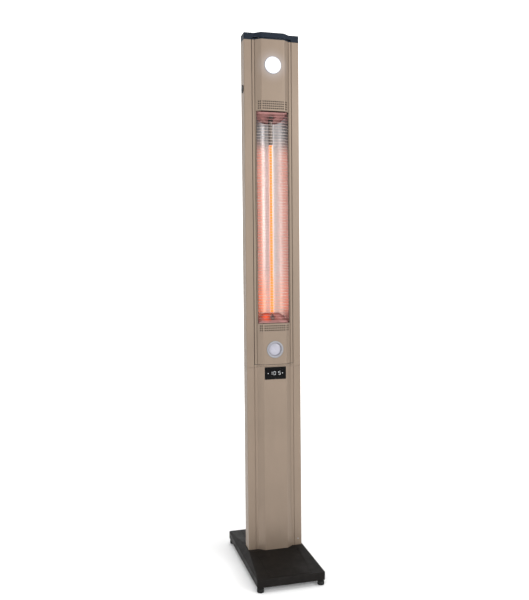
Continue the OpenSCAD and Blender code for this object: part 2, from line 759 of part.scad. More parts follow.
// Stop pin: its place around the pivot, as an angle from +Y towards +Z
stop_angle = 90 + head_swing / 2;
module at_head_stop() translate([
    0, head_stop_circle * cos(stop_angle), pivot_z + head_stop_circle * sin(stop_angle)
]) rotate([0, 90, 0]) children();
module upper_post_left() color(paint) mirror([1, 0, 0]) upper_post();
module upper_post_right() color(paint) upper_post();

// Handle over the posts, scooped out between them
module handle() color(black) {
    step = handle_chamfer;
    difference() {
        union() {
            translate([0, 0, total_h - handle_mid_t]) linear_extrude(handle_mid_t - step)
                octagon(post_in + step, 0);
            hull() {
                translate([0, 0, total_h - step - run_clear]) linear_extrude(run_clear)
                    octagon(post_in + step, 0);
                translate([0, 0, total_h - run_clear]) linear_extrude(run_clear)
                    octagon(post_in + step, step);
            }
            both_sides() hull() {
                translate([post_mid, 0, total_h - step - run_clear]) linear_extrude(run_clear)
                    rounded(post_w, post_d, post_wall);
                translate([post_mid - step / 2, 0, total_h - run_clear]) linear_extrude(run_clear)
                    rounded(post_w - step, post_d - 2 * step, post_wall);
            }
            both_sides() translate([post_mid, 0, post_top]) linear_extrude(handle_end_t - step)
                rounded(post_w, post_d, post_wall);
            both_sides() translate([post_in - handle_fillet, -half_d + step,
                total_h - handle_mid_t - handle_fillet])
                cube([handle_fillet + post_wall, post_d - 2 * step, handle_fillet + run_clear]);
            both_sides() in_post(plug_clear, post_top - handle_plug_h, post_top);
        }
        both_sides() translate([post_in - handle_fillet, half_d + cut,
            total_h - handle_mid_t - handle_fillet])
            rotate([90, 0, 0]) rod(handle_fillet, 0, post_d + 2 * cut);
        both_sides() at_post_screws(handle_screw_levels) rod(screw_r + run_clear, 0, post_w);
    }
}

// Head pivot, fixed half
module pivot_blocks() color(alu) difference() {
    both_sides() in_post(block_clear, pivot_z - block_h / 2, pivot_z + block_h / 2);
    both_sides() at_pivot() {
        rod(pin_r + run_clear, post_in, half_w);
        rod(pin_head_r + run_clear, half_w - post_wall - pin_head_t, half_w);
    }
    both_sides() at_head_stop() rod(stop_r + run_clear, post_in, post_mid + cut);
    translate([-post_mid, 0, 0]) rod(cable_r + fit_clear, pivot_z - block_h, pivot_z);
}
pin_tip = head_half - head_wall - pivot_plate_t - pivot_flange_t - pivot_nut_t - pin_end;
module pivot_pins() color(steel) both_sides() at_pivot() difference() {
    union() {
        rod(pin_r, pin_tip, half_w - post_wall);
        rod(pin_head_r, half_w - post_wall - pin_head_t, half_w - post_wall);
        nut_x = pin_tip + pin_end;
        rod(pivot_nut_r, nut_x, nut_x + pivot_nut_t, $fn = 6);
    }
    rod(pin_bore, pin_tip - cut, half_w);
    rod(cap_spigot_r + fit_clear, half_w - post_wall - cap_spigot, half_w);
    translate([0, 0, post_mid]) rotate([0, 90, 0]) rod(cable_r + run_clear, 0, pin_r + cut);
}
module pivot_caps() color(black) both_sides() at_pivot() {
    rod(pivot_cap_r - cap_proud / 3, half_w, half_w + cap_proud);
    rod(pivot_cap_r, half_w, half_w + cap_proud / 2);
    rod(cap_spigot_r, half_w - post_wall - cap_spigot, half_w);
}
module friction_washers() color("#6b5b45") both_sides() at_pivot()
    ring(pivot_flange_r, pin_r + run_clear, head_half, post_in);
module head_stop_pins() color(steel) both_sides() at_head_stop()
    rod(stop_r, head_half - head_wall - pivot_plate_t, post_mid);
// Flat cable in the crossbar's slot, then a round one up the left post to the hollow pivot pin
module post_cable() color("#23272b") {
    translate([-post_mid - 2 * cable_r, -flat_cable_w / 2, cross_z0])
        cube([post_mid, flat_cable_w, flat_cable_t]);
    wire([[-post_mid, 0, cross_z0 + flat_cable_t / 2], [-post_mid, 0, pivot_z], [-pin_tip, 0, pivot_z]],
        cable_r);
}

// Heater head
module pivot_openings() both_sides() {
    at_pivot() rod(pin_r + pivot_bush_wall + fit_clear / 2, head_half - head_wall - pivot_plate_t - cut,
        head_half + cut);
    translate([0, 0, pivot_z]) rotate([90, 0, 90])
        arc_slot(head_stop_circle, stop_r + fit_clear, head_half - head_wall - pivot_plate_t - cut,
            head_half + cut, stop_angle - head_swing, head_swing);
}
module head_shell() color(paint) difference() {
    translate([0, 0, shell_z0]) linear_extrude(shell_z1 - shell_z0) {
        difference() {
            octagon(head_half, 0);
            octagon(head_half, head_wall);
            translate([-chamfer_x, -front_y - cut]) square([2 * chamfer_x, bulge + head_wall + 2 * cut]);
        }
        both_sides() translate([chamfer_x, -half_d]) square([head_wall, panel_flange]);
    }
    pivot_openings();
    at_cap_screws() rod(panel_screw_r + run_clear, -2 * head_wall, cut);
}
function vent_x(i, n) = (i - (n - 1) / 2) * vent_pitch_x;
module vents(z, rows, dir) for (r = [0:rows - 1]) translate([0, 0, z + dir * r * vent_pitch_z]) {
    for (i = [0:vent_cols - 1]) translate([vent_x(i, vent_cols), -front_y + head_wall / 2, 0])
        cube([vent_size, 2 * head_wall + cut, vent_size], center = true);
    both_sides() translate([facet_half, -front_y, 0]) rotate([0, 0, front_turn])
        for (i = [0:vent_side_cols - 1]) translate([(i + 0.7) * vent_pitch_x, head_wall / 2, 0])
            cube([vent_size, 2 * head_wall + cut, vent_size], center = true);
}
module head_front_panel() color(paint) difference() {
    union() {
        translate([0, 0, shell_z0]) linear_extrude(shell_z1 - shell_z0) intersection() {
            front_strip(post_in, 0, head_wall);
            square([2 * (chamfer_x - groove), 4 * front_y], center = true);
        }
        both_sides() translate([chamfer_x - groove - head_wall, -half_d, shell_z0])
            cube([head_wall, panel_flange, shell_z1 - shell_z0]);
        both_sides() translate([chamfer_x - groove - head_wall, -half_d + panel_flange - head_wall,
            shell_z0])
            cube([head_wall + groove, head_wall, shell_z1 - shell_z0]);
    }
    translate([-opening_half, -front_y - cut, opening_bottom])
        cube([2 * opening_half, bulge + panel_flange - head_wall, opening_top - opening_bottom]);
    for (z = [lamp_top_z, lamp_low_z]) along_y(0, -front_y - cut, z)
        rod(lens_r + lamp_flange_t + fit_clear, 0, 4 * head_wall);
    vents(opening_top + vent_margin, vent_rows, 1);
    vents(opening_bottom - vent_margin, vent_low_rows, -1);
}
module end_cap(z_face, up) {
    z0 = up > 0 ? z_face : z_face - low_cap_t;
    t = up > 0 ? cap_t : low_cap_t;
    translate([0, 0, z0]) linear_extrude(t) octagon(head_half, 0);
    translate([0, 0, up > 0 ? z_face - cap_plug_h : z_face]) linear_extrude(cap_plug_h) difference() {
        octagon(head_half, head_wall + cap_plug_gap);
        octagon(head_half, head_wall + cap_plug_gap + cap_plug_t);
        translate([0, -front_y]) square([2 * head_half, 2 * (bulge + panel_flange + cap_plug_t)],
            center = true);
    }
}
module top_end_cap() color(black) difference() {
    end_cap(shell_z1, 1);
    at_cap_screws() rod(panel_screw_r + run_clear, -4 * head_wall, cut);
}
module bottom_end_cap() color(black) difference() {
    end_cap(shell_z0, -1);
    at_cap_screws() rod(panel_screw_r + run_clear, -4 * head_wall, cut);
}
module at_cap_screws() for (x = sides, z = [shell_z0 + cap_plug_h / 2, shell_z1 - cap_plug_h / 2])
    along_y(x * facet_half / 2, front_y, z) children();
module end_cap_screws() color(black) at_cap_screws() {
    rod(panel_screw_r, -head_wall - cap_plug_gap - cap_plug_t, 0, $fn = coarse);
    rod(panel_head_r, 0, panel_head_t, $fn = coarse);
}
module pivot_plates() color(steel) difference() {
    both_sides() union() {
        translate([head_half - head_wall - pivot_plate_t, -half_d + head_wall + cut,
            pivot_z - pivot_plate_h / 2])
            cube([pivot_plate_t, post_d - 2 * (head_wall + cut), pivot_plate_h]);
        at_pivot() {
            rod(pin_r + pivot_bush_wall, head_half - head_wall - pivot_plate_t, head_half);
            rod(pivot_flange_r, head_half - head_wall - pivot_plate_t - pivot_flange_t,
                head_half - head_wall - pivot_plate_t);
        }
    }
    both_sides() at_pivot() rod(pin_r + run_clear, pin_tip, half_w);
    both_sides() translate([0, 0, pivot_z]) rotate([90, 0, 90])
        arc_slot(head_stop_circle, stop_r + fit_clear,
            head_half - head_wall - pivot_plate_t - pivot_flange_t - cut,
            head_half + cut, stop_angle - head_swing, head_swing);
}

// Reflector trough: shares of the mouth's half width and of the depth
reflector_shares = [[1, 0], [0.9, 0.36], [0.72, 0.68], [0.46, 0.9], [0.2, 1], [0, 0.93]];
mouth_half = chamfer_x - groove - head_wall - reflector_t;
function trough(grow) = [for (s = [-1, 1]) for (i = [0:5]) let(
    p = reflector_shares[s < 0 ? i : 5 - i]
) if (s < 0 || i > 0) [s * p[0] * (mouth_half + grow),
    mouth_y + p[1] * (reflector_back - mouth_y) + grow * p[1]]];
module reflector() color(alu) translate([0, 0, opening_bottom]) linear_extrude(opening_top - opening_bottom)
    polygon(concat(trough(0), [for (i = [10:-1:0]) trough(reflector_t)[i]]));
module reflector_ends() color(alu) {
    reflector_end(opening_top, -1);
    reflector_end(opening_bottom, 1);
}
// Sloped end of the trough, from the mouth's edge inwards and towards the middle
module reflector_end(z, dir) difference() {
    intersection() {
        translate([0, 0, opening_bottom]) linear_extrude(opening_top - opening_bottom)
            polygon(trough(0));
        translate([0, mouth_y, z]) rotate([dir * atan(end_plate_h / (reflector_back - mouth_y)), 0, 0])
            translate([-half_w, -bulge, dir > 0 ? 0 : -end_plate_t])
                cube([body_w, 3 * front_y, end_plate_t]);
    }
    translate([0, tube_y, 0]) rod(socket_r + fit_clear, opening_bottom - cut, opening_top + cut);
}
tube_z1 = opening_top - tube_end_top;
tube_z0 = opening_bottom + tube_end_low;
module on_tube() translate([0, tube_y, 0]) children();
module quartz_tube() color("#d9dde2", 0.4) on_tube() ring(tube_r, tube_r - tube_wall, tube_z0, tube_z1);
module heating_element() color("#ff8a2b") on_tube() {
    rod(element_r, tube_z0 + cold_low, tube_z1 - cold_end);
    rod(element_r / 3, tube_z0, tube_z1, $fn = coarse);
    for (z = [tube_z0, tube_z1 - cap_plug_t]) rod(tube_r - tube_wall - run_clear, z, z + cap_plug_t);
}
module tube_sockets() color("#efe9df") {
    socket(tube_z1, opening_top + strap_gap);
    socket(tube_z0, opening_bottom - strap_gap);
}
// Ceramic socket from a tube's end out to a strap that reaches the head's back wall
module socket(z_tube, z_strap) {
    out = z_strap > z_tube ? 1 : 0;
    on_tube() rod(socket_r, min(z_tube, z_strap), max(z_tube, z_strap));
    translate([-strap_w / 2, tube_y - strap_w / 2, z_strap - (1 - out) * strap_t])
        cube([strap_w, back_in - tube_y + strap_w / 2, strap_t]);
}

// Guard: bent wires between two rails behind the panel's edge
wire_n = floor((opening_top - opening_bottom - 2 * wire_t) / wire_pitch);
wire_first = opening_bottom + (opening_top - opening_bottom - (wire_n - 1) * wire_pitch) / 2;
module guard_grille() color(steel) {
    for (i = [0:wire_n - 1]) translate([0, 0, wire_first + i * wire_pitch - wire_t / 2])
        linear_extrude(wire_t)
        guard_line();
    both_sides() translate([0, 0, opening_bottom]) linear_extrude(opening_top - opening_bottom)
        intersection() {
        guard_line();
        translate([opening_half - rail_w, -2 * front_y]) square([rail_w, 4 * front_y]);
    }
}
module guard_line() intersection() {
    front_strip(post_in, grille_in, grille_in + wire_t);
    square([2 * opening_half, 4 * front_y], center = true);
}

// Lamps: ring, lens, module and heat sink
module lamps() color("#d8d8d4") for (z = [lamp_top_z, lamp_low_z]) along_y(0, -front_y, z) {
    difference() {
        union() {
            rod(lamp_r, -lamp_flange_t, 0);
            rod(lens_r + lamp_flange_t, 0, lamp_body_h);
        }
        rod(lens_r, -lamp_flange_t - cut, lamp_recess);
    }
    for (i = [0:fin_n - 1]) translate([(i - (fin_n - 1) / 2) * lens_r / 3, 0, 0])
        box(fin_t, lens_r, lamp_body_h, lamp_body_h + lamp_recess);
}

// Wires inside the head, from the left pivot pin to both sockets and both lamps
module head_wiring() color("#23272b") {
    y = reflector_back + reflector_t + wire_r + cut;
    hub = [2 * wire_r - pin_tip, 0, pivot_z];
    side = hub[0] / 2;
    low = opening_bottom - strap_gap - strap_t;
    high = opening_top + strap_gap + strap_t;
    lamp_y = lamp_body_h + lamp_recess - front_y;
    wire([[-pin_tip, 0, pivot_z], hub, [side, y, pivot_z - 2 * pin_r], [side, y, low - 3 * wire_r],
        [0, tube_y, low - 3 * wire_r], [0, tube_y, low]], wire_r);
    wire([hub, [0, y - wire_r, pivot_z + pin_r], [0, lamp_y, lamp_top_z - lens_r]], wire_r);
    wire([hub, [0, tube_y, high + 3 * wire_r], [0, tube_y, high]], wire_r);
    wire([[side, y, low - 3 * wire_r], [0, lamp_y, lamp_low_z + lens_r]], wire_r);
}

base_cover();
base_plate();
base_riser();
ballast_weights();
ballast_bolts();
rubber_feet();
foot_screws();
tilt_switch();
cable_gland();
supply_lead();
column_plugs();
column_bolts();
lower_post_left();
lower_post_right();
lower_front_panel();
lower_back_panel();
panel_screws();
display_frame();
display_window();
display_digits();
control_board();
power_board();
board_parts();
terminal_block();
column_harness();
column_top_plate();
bearing_block();
swivel_bushes();
thrust_washer();
swivel_stop_pin();
swivel_spindle();
swivel_fasteners();
crossbar();
crossbar_lid();
crossbar_fascia();
post_plugs();
post_screws();
upper_post_left();
upper_post_right();
handle();
pivot_blocks();
pivot_pins();
pivot_caps();
friction_washers();
head_stop_pins();
post_cable();
head_shell();
head_front_panel();
top_end_cap();
bottom_end_cap();
end_cap_screws();
pivot_plates();
reflector();
reflector_ends();
quartz_tube();
heating_element();
tube_sockets();
guard_grille();
lamps();
head_wiring();
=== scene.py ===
import json
import math

import bmesh
import bpy
from mathutils import Matrix, Vector


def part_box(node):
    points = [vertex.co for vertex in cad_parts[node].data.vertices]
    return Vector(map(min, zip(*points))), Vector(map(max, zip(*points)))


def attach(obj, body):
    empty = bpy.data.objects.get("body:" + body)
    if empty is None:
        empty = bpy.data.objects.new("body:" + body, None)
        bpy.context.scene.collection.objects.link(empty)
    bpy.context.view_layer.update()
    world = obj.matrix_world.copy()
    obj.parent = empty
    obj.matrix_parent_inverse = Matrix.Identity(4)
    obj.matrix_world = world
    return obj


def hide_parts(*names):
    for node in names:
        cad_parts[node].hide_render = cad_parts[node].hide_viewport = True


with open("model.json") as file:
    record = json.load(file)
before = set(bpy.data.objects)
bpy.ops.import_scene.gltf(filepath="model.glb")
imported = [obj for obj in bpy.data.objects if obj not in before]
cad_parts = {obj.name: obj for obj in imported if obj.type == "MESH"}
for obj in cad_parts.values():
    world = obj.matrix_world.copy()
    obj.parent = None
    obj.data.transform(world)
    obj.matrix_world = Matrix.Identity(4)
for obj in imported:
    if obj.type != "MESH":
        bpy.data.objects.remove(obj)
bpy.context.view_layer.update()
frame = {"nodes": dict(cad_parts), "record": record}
nodes = frame["nodes"]
scene = bpy.context.scene
MM = 0.001
WHITE = (1, 1, 1)


# Materials


def is_socket(value):
    return hasattr(value, "is_output")


class Mat:
    """A node material around one Principled shader, in the object's own coordinates."""

    def __init__(self, name, color, rough, metallic=0.0, **constants):
        self.mat = bpy.data.materials.new(name)
        self.mat.use_nodes = True
        self.tree = self.mat.node_tree
        self.bsdf = self.tree.nodes["Principled BSDF"]
        self.coord = self.tree.nodes.new("ShaderNodeTexCoord")
        self.color = color
        self.last_bump = None
        self.bsdf.inputs["Base Color"].default_value = (*color, 1)
        self.bsdf.inputs["Roughness"].default_value = rough
        self.bsdf.inputs["Metallic"].default_value = metallic
        for key, value in constants.items():
            self.bsdf.inputs[key.replace("_", " ")].default_value = value

    def node(self, kind, **inputs):
        n = self.tree.nodes.new(kind)
        for key, value in inputs.items():
            n.inputs[key.replace("_", " ")].default_value = value
        return n

    def link(self, a, b):
        self.tree.links.new(a, b)

    def mapped(self, scale, location=(0, 0, 0)):
        """The object's coordinates, scaled and then moved."""
        m = self.node("ShaderNodeMapping", Scale=scale, Location=location)
        self.link(self.coord.outputs["Object"], m.inputs["Vector"])
        return m.outputs["Vector"]

    def noise(self, scale, detail=4.0, stretch=(1, 1, 1)):
        n = self.node("ShaderNodeTexNoise", Scale=scale, Detail=detail, Roughness=0.55)
        self.link(self.mapped(stretch), n.inputs["Vector"])
        return n.outputs["Fac"]

    def span(self, value, lo, hi, to_lo=0.0, to_hi=1.0):
        n = self.node("ShaderNodeMapRange", From_Min=lo, From_Max=hi, To_Min=to_lo, To_Max=to_hi)
        self.link(value, n.inputs["Value"])
        return n.outputs["Result"]

    def math(self, op, a, b=0.0):
        n = self.node("ShaderNodeMath")
        n.operation = op
        for i, v in enumerate((a, b)):
            if is_socket(v):
                self.link(v, n.inputs[i])
            else:
                n.inputs[i].default_value = v
        return n.outputs[0]

    def axis(self, name):
        n = self.node("ShaderNodeSeparateXYZ")
        self.link(self.coord.outputs["Object"], n.inputs["Vector"])
        return n.outputs[name]

    def ramp(self, axis, start, full):
        """0 at the first coordinate in metres, 1 from the second on."""
        return self.span(self.axis(axis), start, full)

    def mix(self, fac, low, high):
        """Colour from low to high by fac; each is a colour or a socket."""
        n = self.node("ShaderNodeMix")
        n.data_type = "RGBA"
        self.link(fac, n.inputs["Factor"])
        for key, value in (("A", low), ("B", high)):
            if is_socket(value):
                self.link(value, n.inputs[key])
            else:
                n.inputs[key].default_value = (*value, 1)
        return n.outputs["Result"]

    def tint(self, fac, color):
        """Mixes a colour over the base colour where fac is high."""
        self.color = self.mix(fac, self.color, color)
        self.link(self.color, self.bsdf.inputs["Base Color"])

    def spot(self, centre, radius):
        """1 at a point in metres, falling to 0 at the radius."""
        n = self.node("ShaderNodeTexGradient")
        n.gradient_type = "SPHERICAL"
        where = self.mapped((1 / radius,) * 3, [-c / radius for c in centre])
        self.link(where, n.inputs["Vector"])
        return n.outputs["Fac"]

    def emit(self, fac, color, strength):
        self.bsdf.inputs["Emission Color"].default_value = (*color, 1)
        self.link(self.math("MULTIPLY", fac, strength), self.bsdf.inputs["Emission Strength"])

    def blend_emission(self, fac, low, high):
        self.link(self.mix(fac, low, high), self.bsdf.inputs["Emission Color"])

    def vary_rough(self, fac, lo, hi):
        self.link(self.span(fac, 0.3, 0.7, lo, hi), self.bsdf.inputs["Roughness"])

    def bump(self, fac, strength, distance):
        n = self.node("ShaderNodeBump", Strength=strength, Distance=distance)
        self.link(fac, n.inputs["Height"])
        if self.last_bump is not None:
            self.link(self.last_bump, n.inputs["Normal"])
        self.last_bump = n.outputs["Normal"]
        self.link(self.last_bump, self.bsdf.inputs["Normal"])


def rgb(text):
    """Linear colour from a screen colour such as 9b8c7f."""
    c = [int(text[i : i + 2], 16) / 255 for i in (0, 2, 4)]
    return tuple(x / 12.92 if x <= 0.04045 else ((x + 0.055) / 1.055) ** 2.4 for x in c)


def shade(color, k):
    return tuple(min(1.0, x * k) for x in color)


def powder_paint(name, color, rough, grain=900.0, depth=0.12, dust=0.12, spill=None, **constants):
    """Satin paint: orange peel, soft blotches, rubbed patches and a little dust low down.

    Spill is the place in metres of a lit lamp; the lamp's light round that place is painted into the paint
    as a glow."""
    m = Mat(name, color, rough, **constants)
    m.tint(m.span(m.noise(5, 3), 0.35, 0.65), shade(color, 1.07))
    m.tint(m.span(m.noise(26, 5, (1, 1, 0.15)), 0.5, 0.8, 0, 0.5), shade(color, 0.92))
    m.tint(m.span(m.noise(140, 2), 0.62, 0.74, 0, 0.25), shade(color, 1.2))
    low = m.math("MULTIPLY", m.ramp("Z", 0.3, 0.0), m.span(m.noise(60, 6), 0.45, 0.75))
    m.tint(m.math("MULTIPLY", low, dust), rgb("8d857a"))
    if spill:
        # painted light: a glow painted into the paint round the lamp, standing in for its light on the
        # panel
        m.emit(m.math("POWER", m.spot(spill, 0.075), 2.2), rgb("dfe9ff"), 0.5)
    m.vary_rough(m.noise(18, 5, (1, 1, 0.3)), rough - 0.07, rough + 0.1)
    m.bump(m.noise(grain, 2), depth, 0.0002)
    m.bump(m.noise(9, 2), 0.05, 0.002)
    return m.mat


def grained_plastic(name, color, rough, **constants):
    """Moulded plastic: fine grain, rub marks and faint pale scuffs."""
    m = Mat(name, color, rough, **constants)
    m.tint(m.span(m.noise(12, 4), 0.4, 0.7), shade(color, 1.25))
    m.tint(m.span(m.noise(70, 6, (1, 1, 6)), 0.66, 0.78, 0, 0.2), shade(color, 2.2))
    m.vary_rough(m.noise(35, 5), rough - 0.08, rough + 0.12)
    m.bump(m.noise(1700, 2), 0.2, 0.0002)
    m.bump(m.noise(14, 2), 0.05, 0.001)
    return m.mat


def metal(name, color, rough, stain=None, metallic=1.0):
    """Worked metal: drawn streaks, cloudy roughness, fine scratches and stains."""
    m = Mat(name, color, rough, metallic)
    drawn = (1, 1, 0.02)
    m.tint(m.span(m.noise(30, 5), 0.35, 0.7), shade(color, 0.86))
    m.tint(m.span(m.noise(400, 4, drawn), 0.45, 0.7, 0, 0.4), shade(color, 1.12))
    if stain:
        m.tint(m.span(m.noise(17, 6), 0.55, 0.75, 0, 0.7), stain)
    m.vary_rough(m.noise(45, 6), rough - 0.08, rough + 0.12)
    m.bump(m.noise(900, 3, drawn), 0.12, 0.0001)
    m.bump(m.noise(25, 3), 0.04, 0.0008)
    return m.mat


def rubber(name, color):
    """Matt rubber with a fine grain and grey bloom."""
    m = Mat(name, color, 0.75, Specular_IOR_Level=0.3)
    m.tint(m.span(m.noise(55, 6), 0.5, 0.75, 0, 0.5), shade(color, 2.4))
    m.vary_rough(m.noise(40, 4), 0.65, 0.9)
    m.bump(m.noise(1200, 3), 0.3, 0.0002)
    return m.mat


def board(name, color):
    """Circuit board: faint tracks under a clear coat."""
    m = Mat(name, color, 0.35, Coat_Weight=0.3)
    m.tint(m.span(m.noise(260, 2, (1, 1, 0.2)), 0.52, 0.56, 0, 0.6), shade(color, 1.7))
    m.tint(m.span(m.noise(20, 4), 0.4, 0.7, 0, 0.5), shade(color, 0.8))
    m.vary_rough(m.noise(50, 4), 0.28, 0.45)
    m.bump(m.noise(500, 2), 0.2, 0.0001)
    return m.mat


def glow(name, color, strength, hot, body=(0.02, 0.02, 0.02)):
    """Lit surface whose light is uneven along the object."""
    m = Mat(name, body, 0.5, Emission_Strength=strength)
    m.blend_emission(m.span(m.noise(60, 3, (1, 1, 2)), 0.35, 0.65), color, hot)
    m.bump(m.noise(300, 2), 0.1, 0.0002)
    return m.mat


def reflector_painted_glow():
    """Bright rolled sheet with a painted glow and painted reflection of the element along the tube's lit
    length, warmest at its left edge.
    """
    m = Mat("reflector_sheet_painted_glow", rgb("a9a6a7"), 0.4, 1.0)
    m.tint(m.span(m.noise(25, 6, (1, 1, 0.2)), 0.5, 0.8, 0, 0.3), rgb("a39b99"))
    # painted reflection: the band along the tube's lit length where the element's glow is painted on
    lit = m.math("MULTIPLY", m.ramp("Z", 0.93, 0.99), m.ramp("Z", 1.63, 1.55))
    edge = m.span(m.math("ABSOLUTE", m.axis("X")), 0.02, 0.036)
    edge = m.math("MULTIPLY", edge, m.span(m.axis("X"), 0.0, 0.02, 1, 0.5))
    # painted reflection: salmon colour of the element's glow over the lit band, strongest at its edges
    m.tint(m.math("MULTIPLY", lit, m.span(edge, 0, 1, 0.25, 0.85)), rgb("cda79d"))
    # painted glow: a warm orange patch near the lower socket on the left
    m.tint(m.math("MULTIPLY", m.spot((-0.034, 0.0, 1.0), 0.14), 0.8), rgb("dc8f66"))
    # painted glow: the sheet itself emits light along the lit band, warmer at its edges
    m.emit(m.math("MULTIPLY", lit, m.span(edge, 0, 1, 1.5, 1.0)), WHITE, 0.12)
    m.blend_emission(edge, rgb("ece4ea"), rgb("f0b09c"))
    m.vary_rough(m.noise(30, 5, (1, 1, 0.1)), 0.38, 0.5)
    m.bump(m.noise(500, 3, (1, 1, 0.01)), 0.05, 0.0001)
    m.bump(m.noise(14, 2, (1, 1, 0.3)), 0.04, 0.001)
    return m.mat


def end_plate_painted_glow():
    """End sheet tinted pink as a painted reflection of the element's glow, with a painted glowing hot
    corner beside the lower socket.
    """
    # painted reflection: the pink base colour stands in for the element's glow reflected by the sheet
    m = Mat("end_plate", rgb("b58380"), 0.42, 0.6)
    m.tint(m.span(m.noise(40, 5), 0.4, 0.7), rgb("96706a"))
    # painted glow: a hot spot beside the lower socket, tinted orange and given emission
    hot = m.spot((-0.022, -0.01, 0.957), 0.028)
    m.tint(m.span(hot, 0.0, 0.5, 0, 0.8), rgb("e0582e"))
    m.emit(m.math("POWER", hot, 2.0), rgb("ff6a3c"), 0.7)
    m.vary_rough(m.noise(30, 5), 0.34, 0.5)
    m.bump(m.noise(400, 3), 0.05, 0.0002)
    return m.mat


def quartz():
    """Clear tube with a faint haze, with the filament's orange light painted on as a glow along its lit
    length.
    """
    m = Mat("quartz", rgb("f5f3f1"), 0.04, Transmission_Weight=1.0, IOR=1.06, Specular_IOR_Level=0.2)
    m.tint(m.span(m.noise(30, 3, (1, 1, 0.1)), 0.5, 0.8, 0, 0.25), rgb("d8c9bd"))
    # painted glow: the envelope emits orange along the lit length, standing in for the filament's light in
    # the glass
    lit = m.math("MULTIPLY", m.ramp("Z", 0.962, 0.975), m.ramp("Z", 1.603, 1.595))
    m.emit(lit, rgb("ff7420"), 0.38)
    m.vary_rough(m.noise(20, 4, (1, 1, 0.1)), 0.02, 0.09)
    m.bump(m.noise(60, 2, (1, 1, 0.1)), 0.05, 0.0005)
    return m.mat


def display_black():
    """Glossy black glass, faintly smeared."""
    m = Mat("display_window", rgb("030304"), 0.1, Specular_IOR_Level=0.12)
    m.tint(m.span(m.noise(30, 5), 0.5, 0.8, 0, 0.4), rgb("070708"))
    m.vary_rough(m.noise(40, 6), 0.06, 0.16)
    m.bump(m.noise(50, 2), 0.02, 0.0003)
    return m.mat


def lens_material(name, strength):
    """Milky lens, lit with the given strength."""
    m = Mat(name, rgb("a6a5b0"), 0.3, Emission_Strength=strength, Emission_Color=(*WHITE, 1))
    m.tint(m.span(m.noise(35, 4), 0.4, 0.7, 0, 0.5), rgb("98979f"))
    m.vary_rough(m.noise(50, 4), 0.18, 0.34)
    m.bump(m.noise(700, 2), 0.1, 0.0001)
    return m.mat


def guard_metal():
    """Pale drawn wire, tinted reddish over the reflector's ends."""
    m = Mat("guard_wire", rgb("c9bfb9"), 0.4, 1.0)
    m.tint(m.span(m.noise(30, 5), 0.35, 0.7), rgb("b9aca5"))
    m.tint(m.span(m.noise(17, 6), 0.55, 0.75, 0, 0.5), rgb("8d7a6c"))
    ends = m.math("MAXIMUM", m.ramp("Z", 0.985, 0.965), m.ramp("Z", 1.66, 1.68))
    m.tint(m.math("MULTIPLY", ends, 0.85), rgb("a8706e"))
    m.vary_rough(m.noise(45, 6), 0.32, 0.5)
    m.bump(m.noise(900, 3, (0.05, 1, 1)), 0.12, 0.0001)
    return m.mat


CHAMPAGNE = rgb("827263")
BODY_PAINT = {"metallic": 0.35, "Coat_Weight": 0.1, "Coat_Roughness": 0.3}
panel_paint_lamp_glow = powder_paint("panel_paint_lamp_glow", CHAMPAGNE, 0.4, spill=(0, -0.043, 1.882), **BODY_PAINT)
# Dark steel for the clip and screw; on the grille's rails and collars the dark colour is painted shade for
# the groove beside the opening.
burnt_and_groove_shade = metal("burnt_steel_and_groove_shade", rgb("231f1d"), 0.5, rgb("120e0c"), 0.2)
tube_end = metal("darkened_end", rgb("6d655f"), 0.4, rgb("3a302b"))
lamp_on = lens_material("lamp_lit", 1.8)
lamp_off = lens_material("lamp_unlit", 0.0)
ring_on = lens_material("ring_lit", 0.55)
ring_edge = grained_plastic("lamp_ring_edge", rgb("7c8287"), 0.45)
SLOTS = {
    "body_paint": powder_paint("champagne_paint", CHAMPAGNE, 0.4, **BODY_PAINT),
    "black_plastic": grained_plastic("black_plastic", rgb("121b26"), 0.45, Specular_IOR_Level=0.16),
    "base_paint": powder_paint("base_paint", rgb("0e0b09"), 0.55, grain=1300.0, depth=0.3, dust=0.02,
                               Specular_IOR_Level=0.14),
    "zinc_steel": metal("zinc_steel", rgb("a3a5a6"), 0.34, rgb("8a8577")),
    "ballast_steel": metal("ballast_slab", rgb("4a4744"), 0.62, rgb("6b3f26"), 0.7),
    "cast_alu": metal("machined_aluminium", rgb("c3c5c8"), 0.3),
    "mirror_alu": reflector_painted_glow(),
    "foot_rubber": rubber("foot_rubber", rgb("131313")),
    "cable_rubber": rubber("lead_rubber", rgb("191a1c")),
    "white_plastic": grained_plastic("white_plastic", rgb("dcdad2"), 0.4),
    "bush_plastic": grained_plastic("bush_plastic", rgb("dcd7c6"), 0.35),
    "washer_fibre": grained_plastic("friction_fibre", rgb("5f4f3b"), 0.7),
    "board_green": board("green_board", rgb("1b4f34")),
    "part_grey": grained_plastic("moulded_parts", rgb("25303b"), 0.4),
    "window_black": display_black(),
    "trim_black": grained_plastic("display_trim", rgb("08090a"), 0.3, Specular_IOR_Level=0.15),
    "digit_light": glow("digit_glow", (0.9, 0.95, 1.0), 1.1, WHITE),
    "tube_quartz": quartz(),
    "element_glow": glow("coil_glow", (1.0, 0.28, 0.045), 0.74, (1.0, 0.36, 0.08), (0.06, 0.02, 0.01)),
    "socket_ceramic": grained_plastic("ceramic", rgb("5e5850"), 0.6),
    "guard_wire": guard_metal(),
    "lamp_ring": grained_plastic("lamp_ring", rgb("8a898f"), 0.4),
}
for part in frame["record"]["subparts"]:
    mesh = nodes[part["node"]].data
    mesh.materials.clear()
    mesh.materials.append(SLOTS[part["material_slot"]])


# Modelling helpers; all lengths are in mm


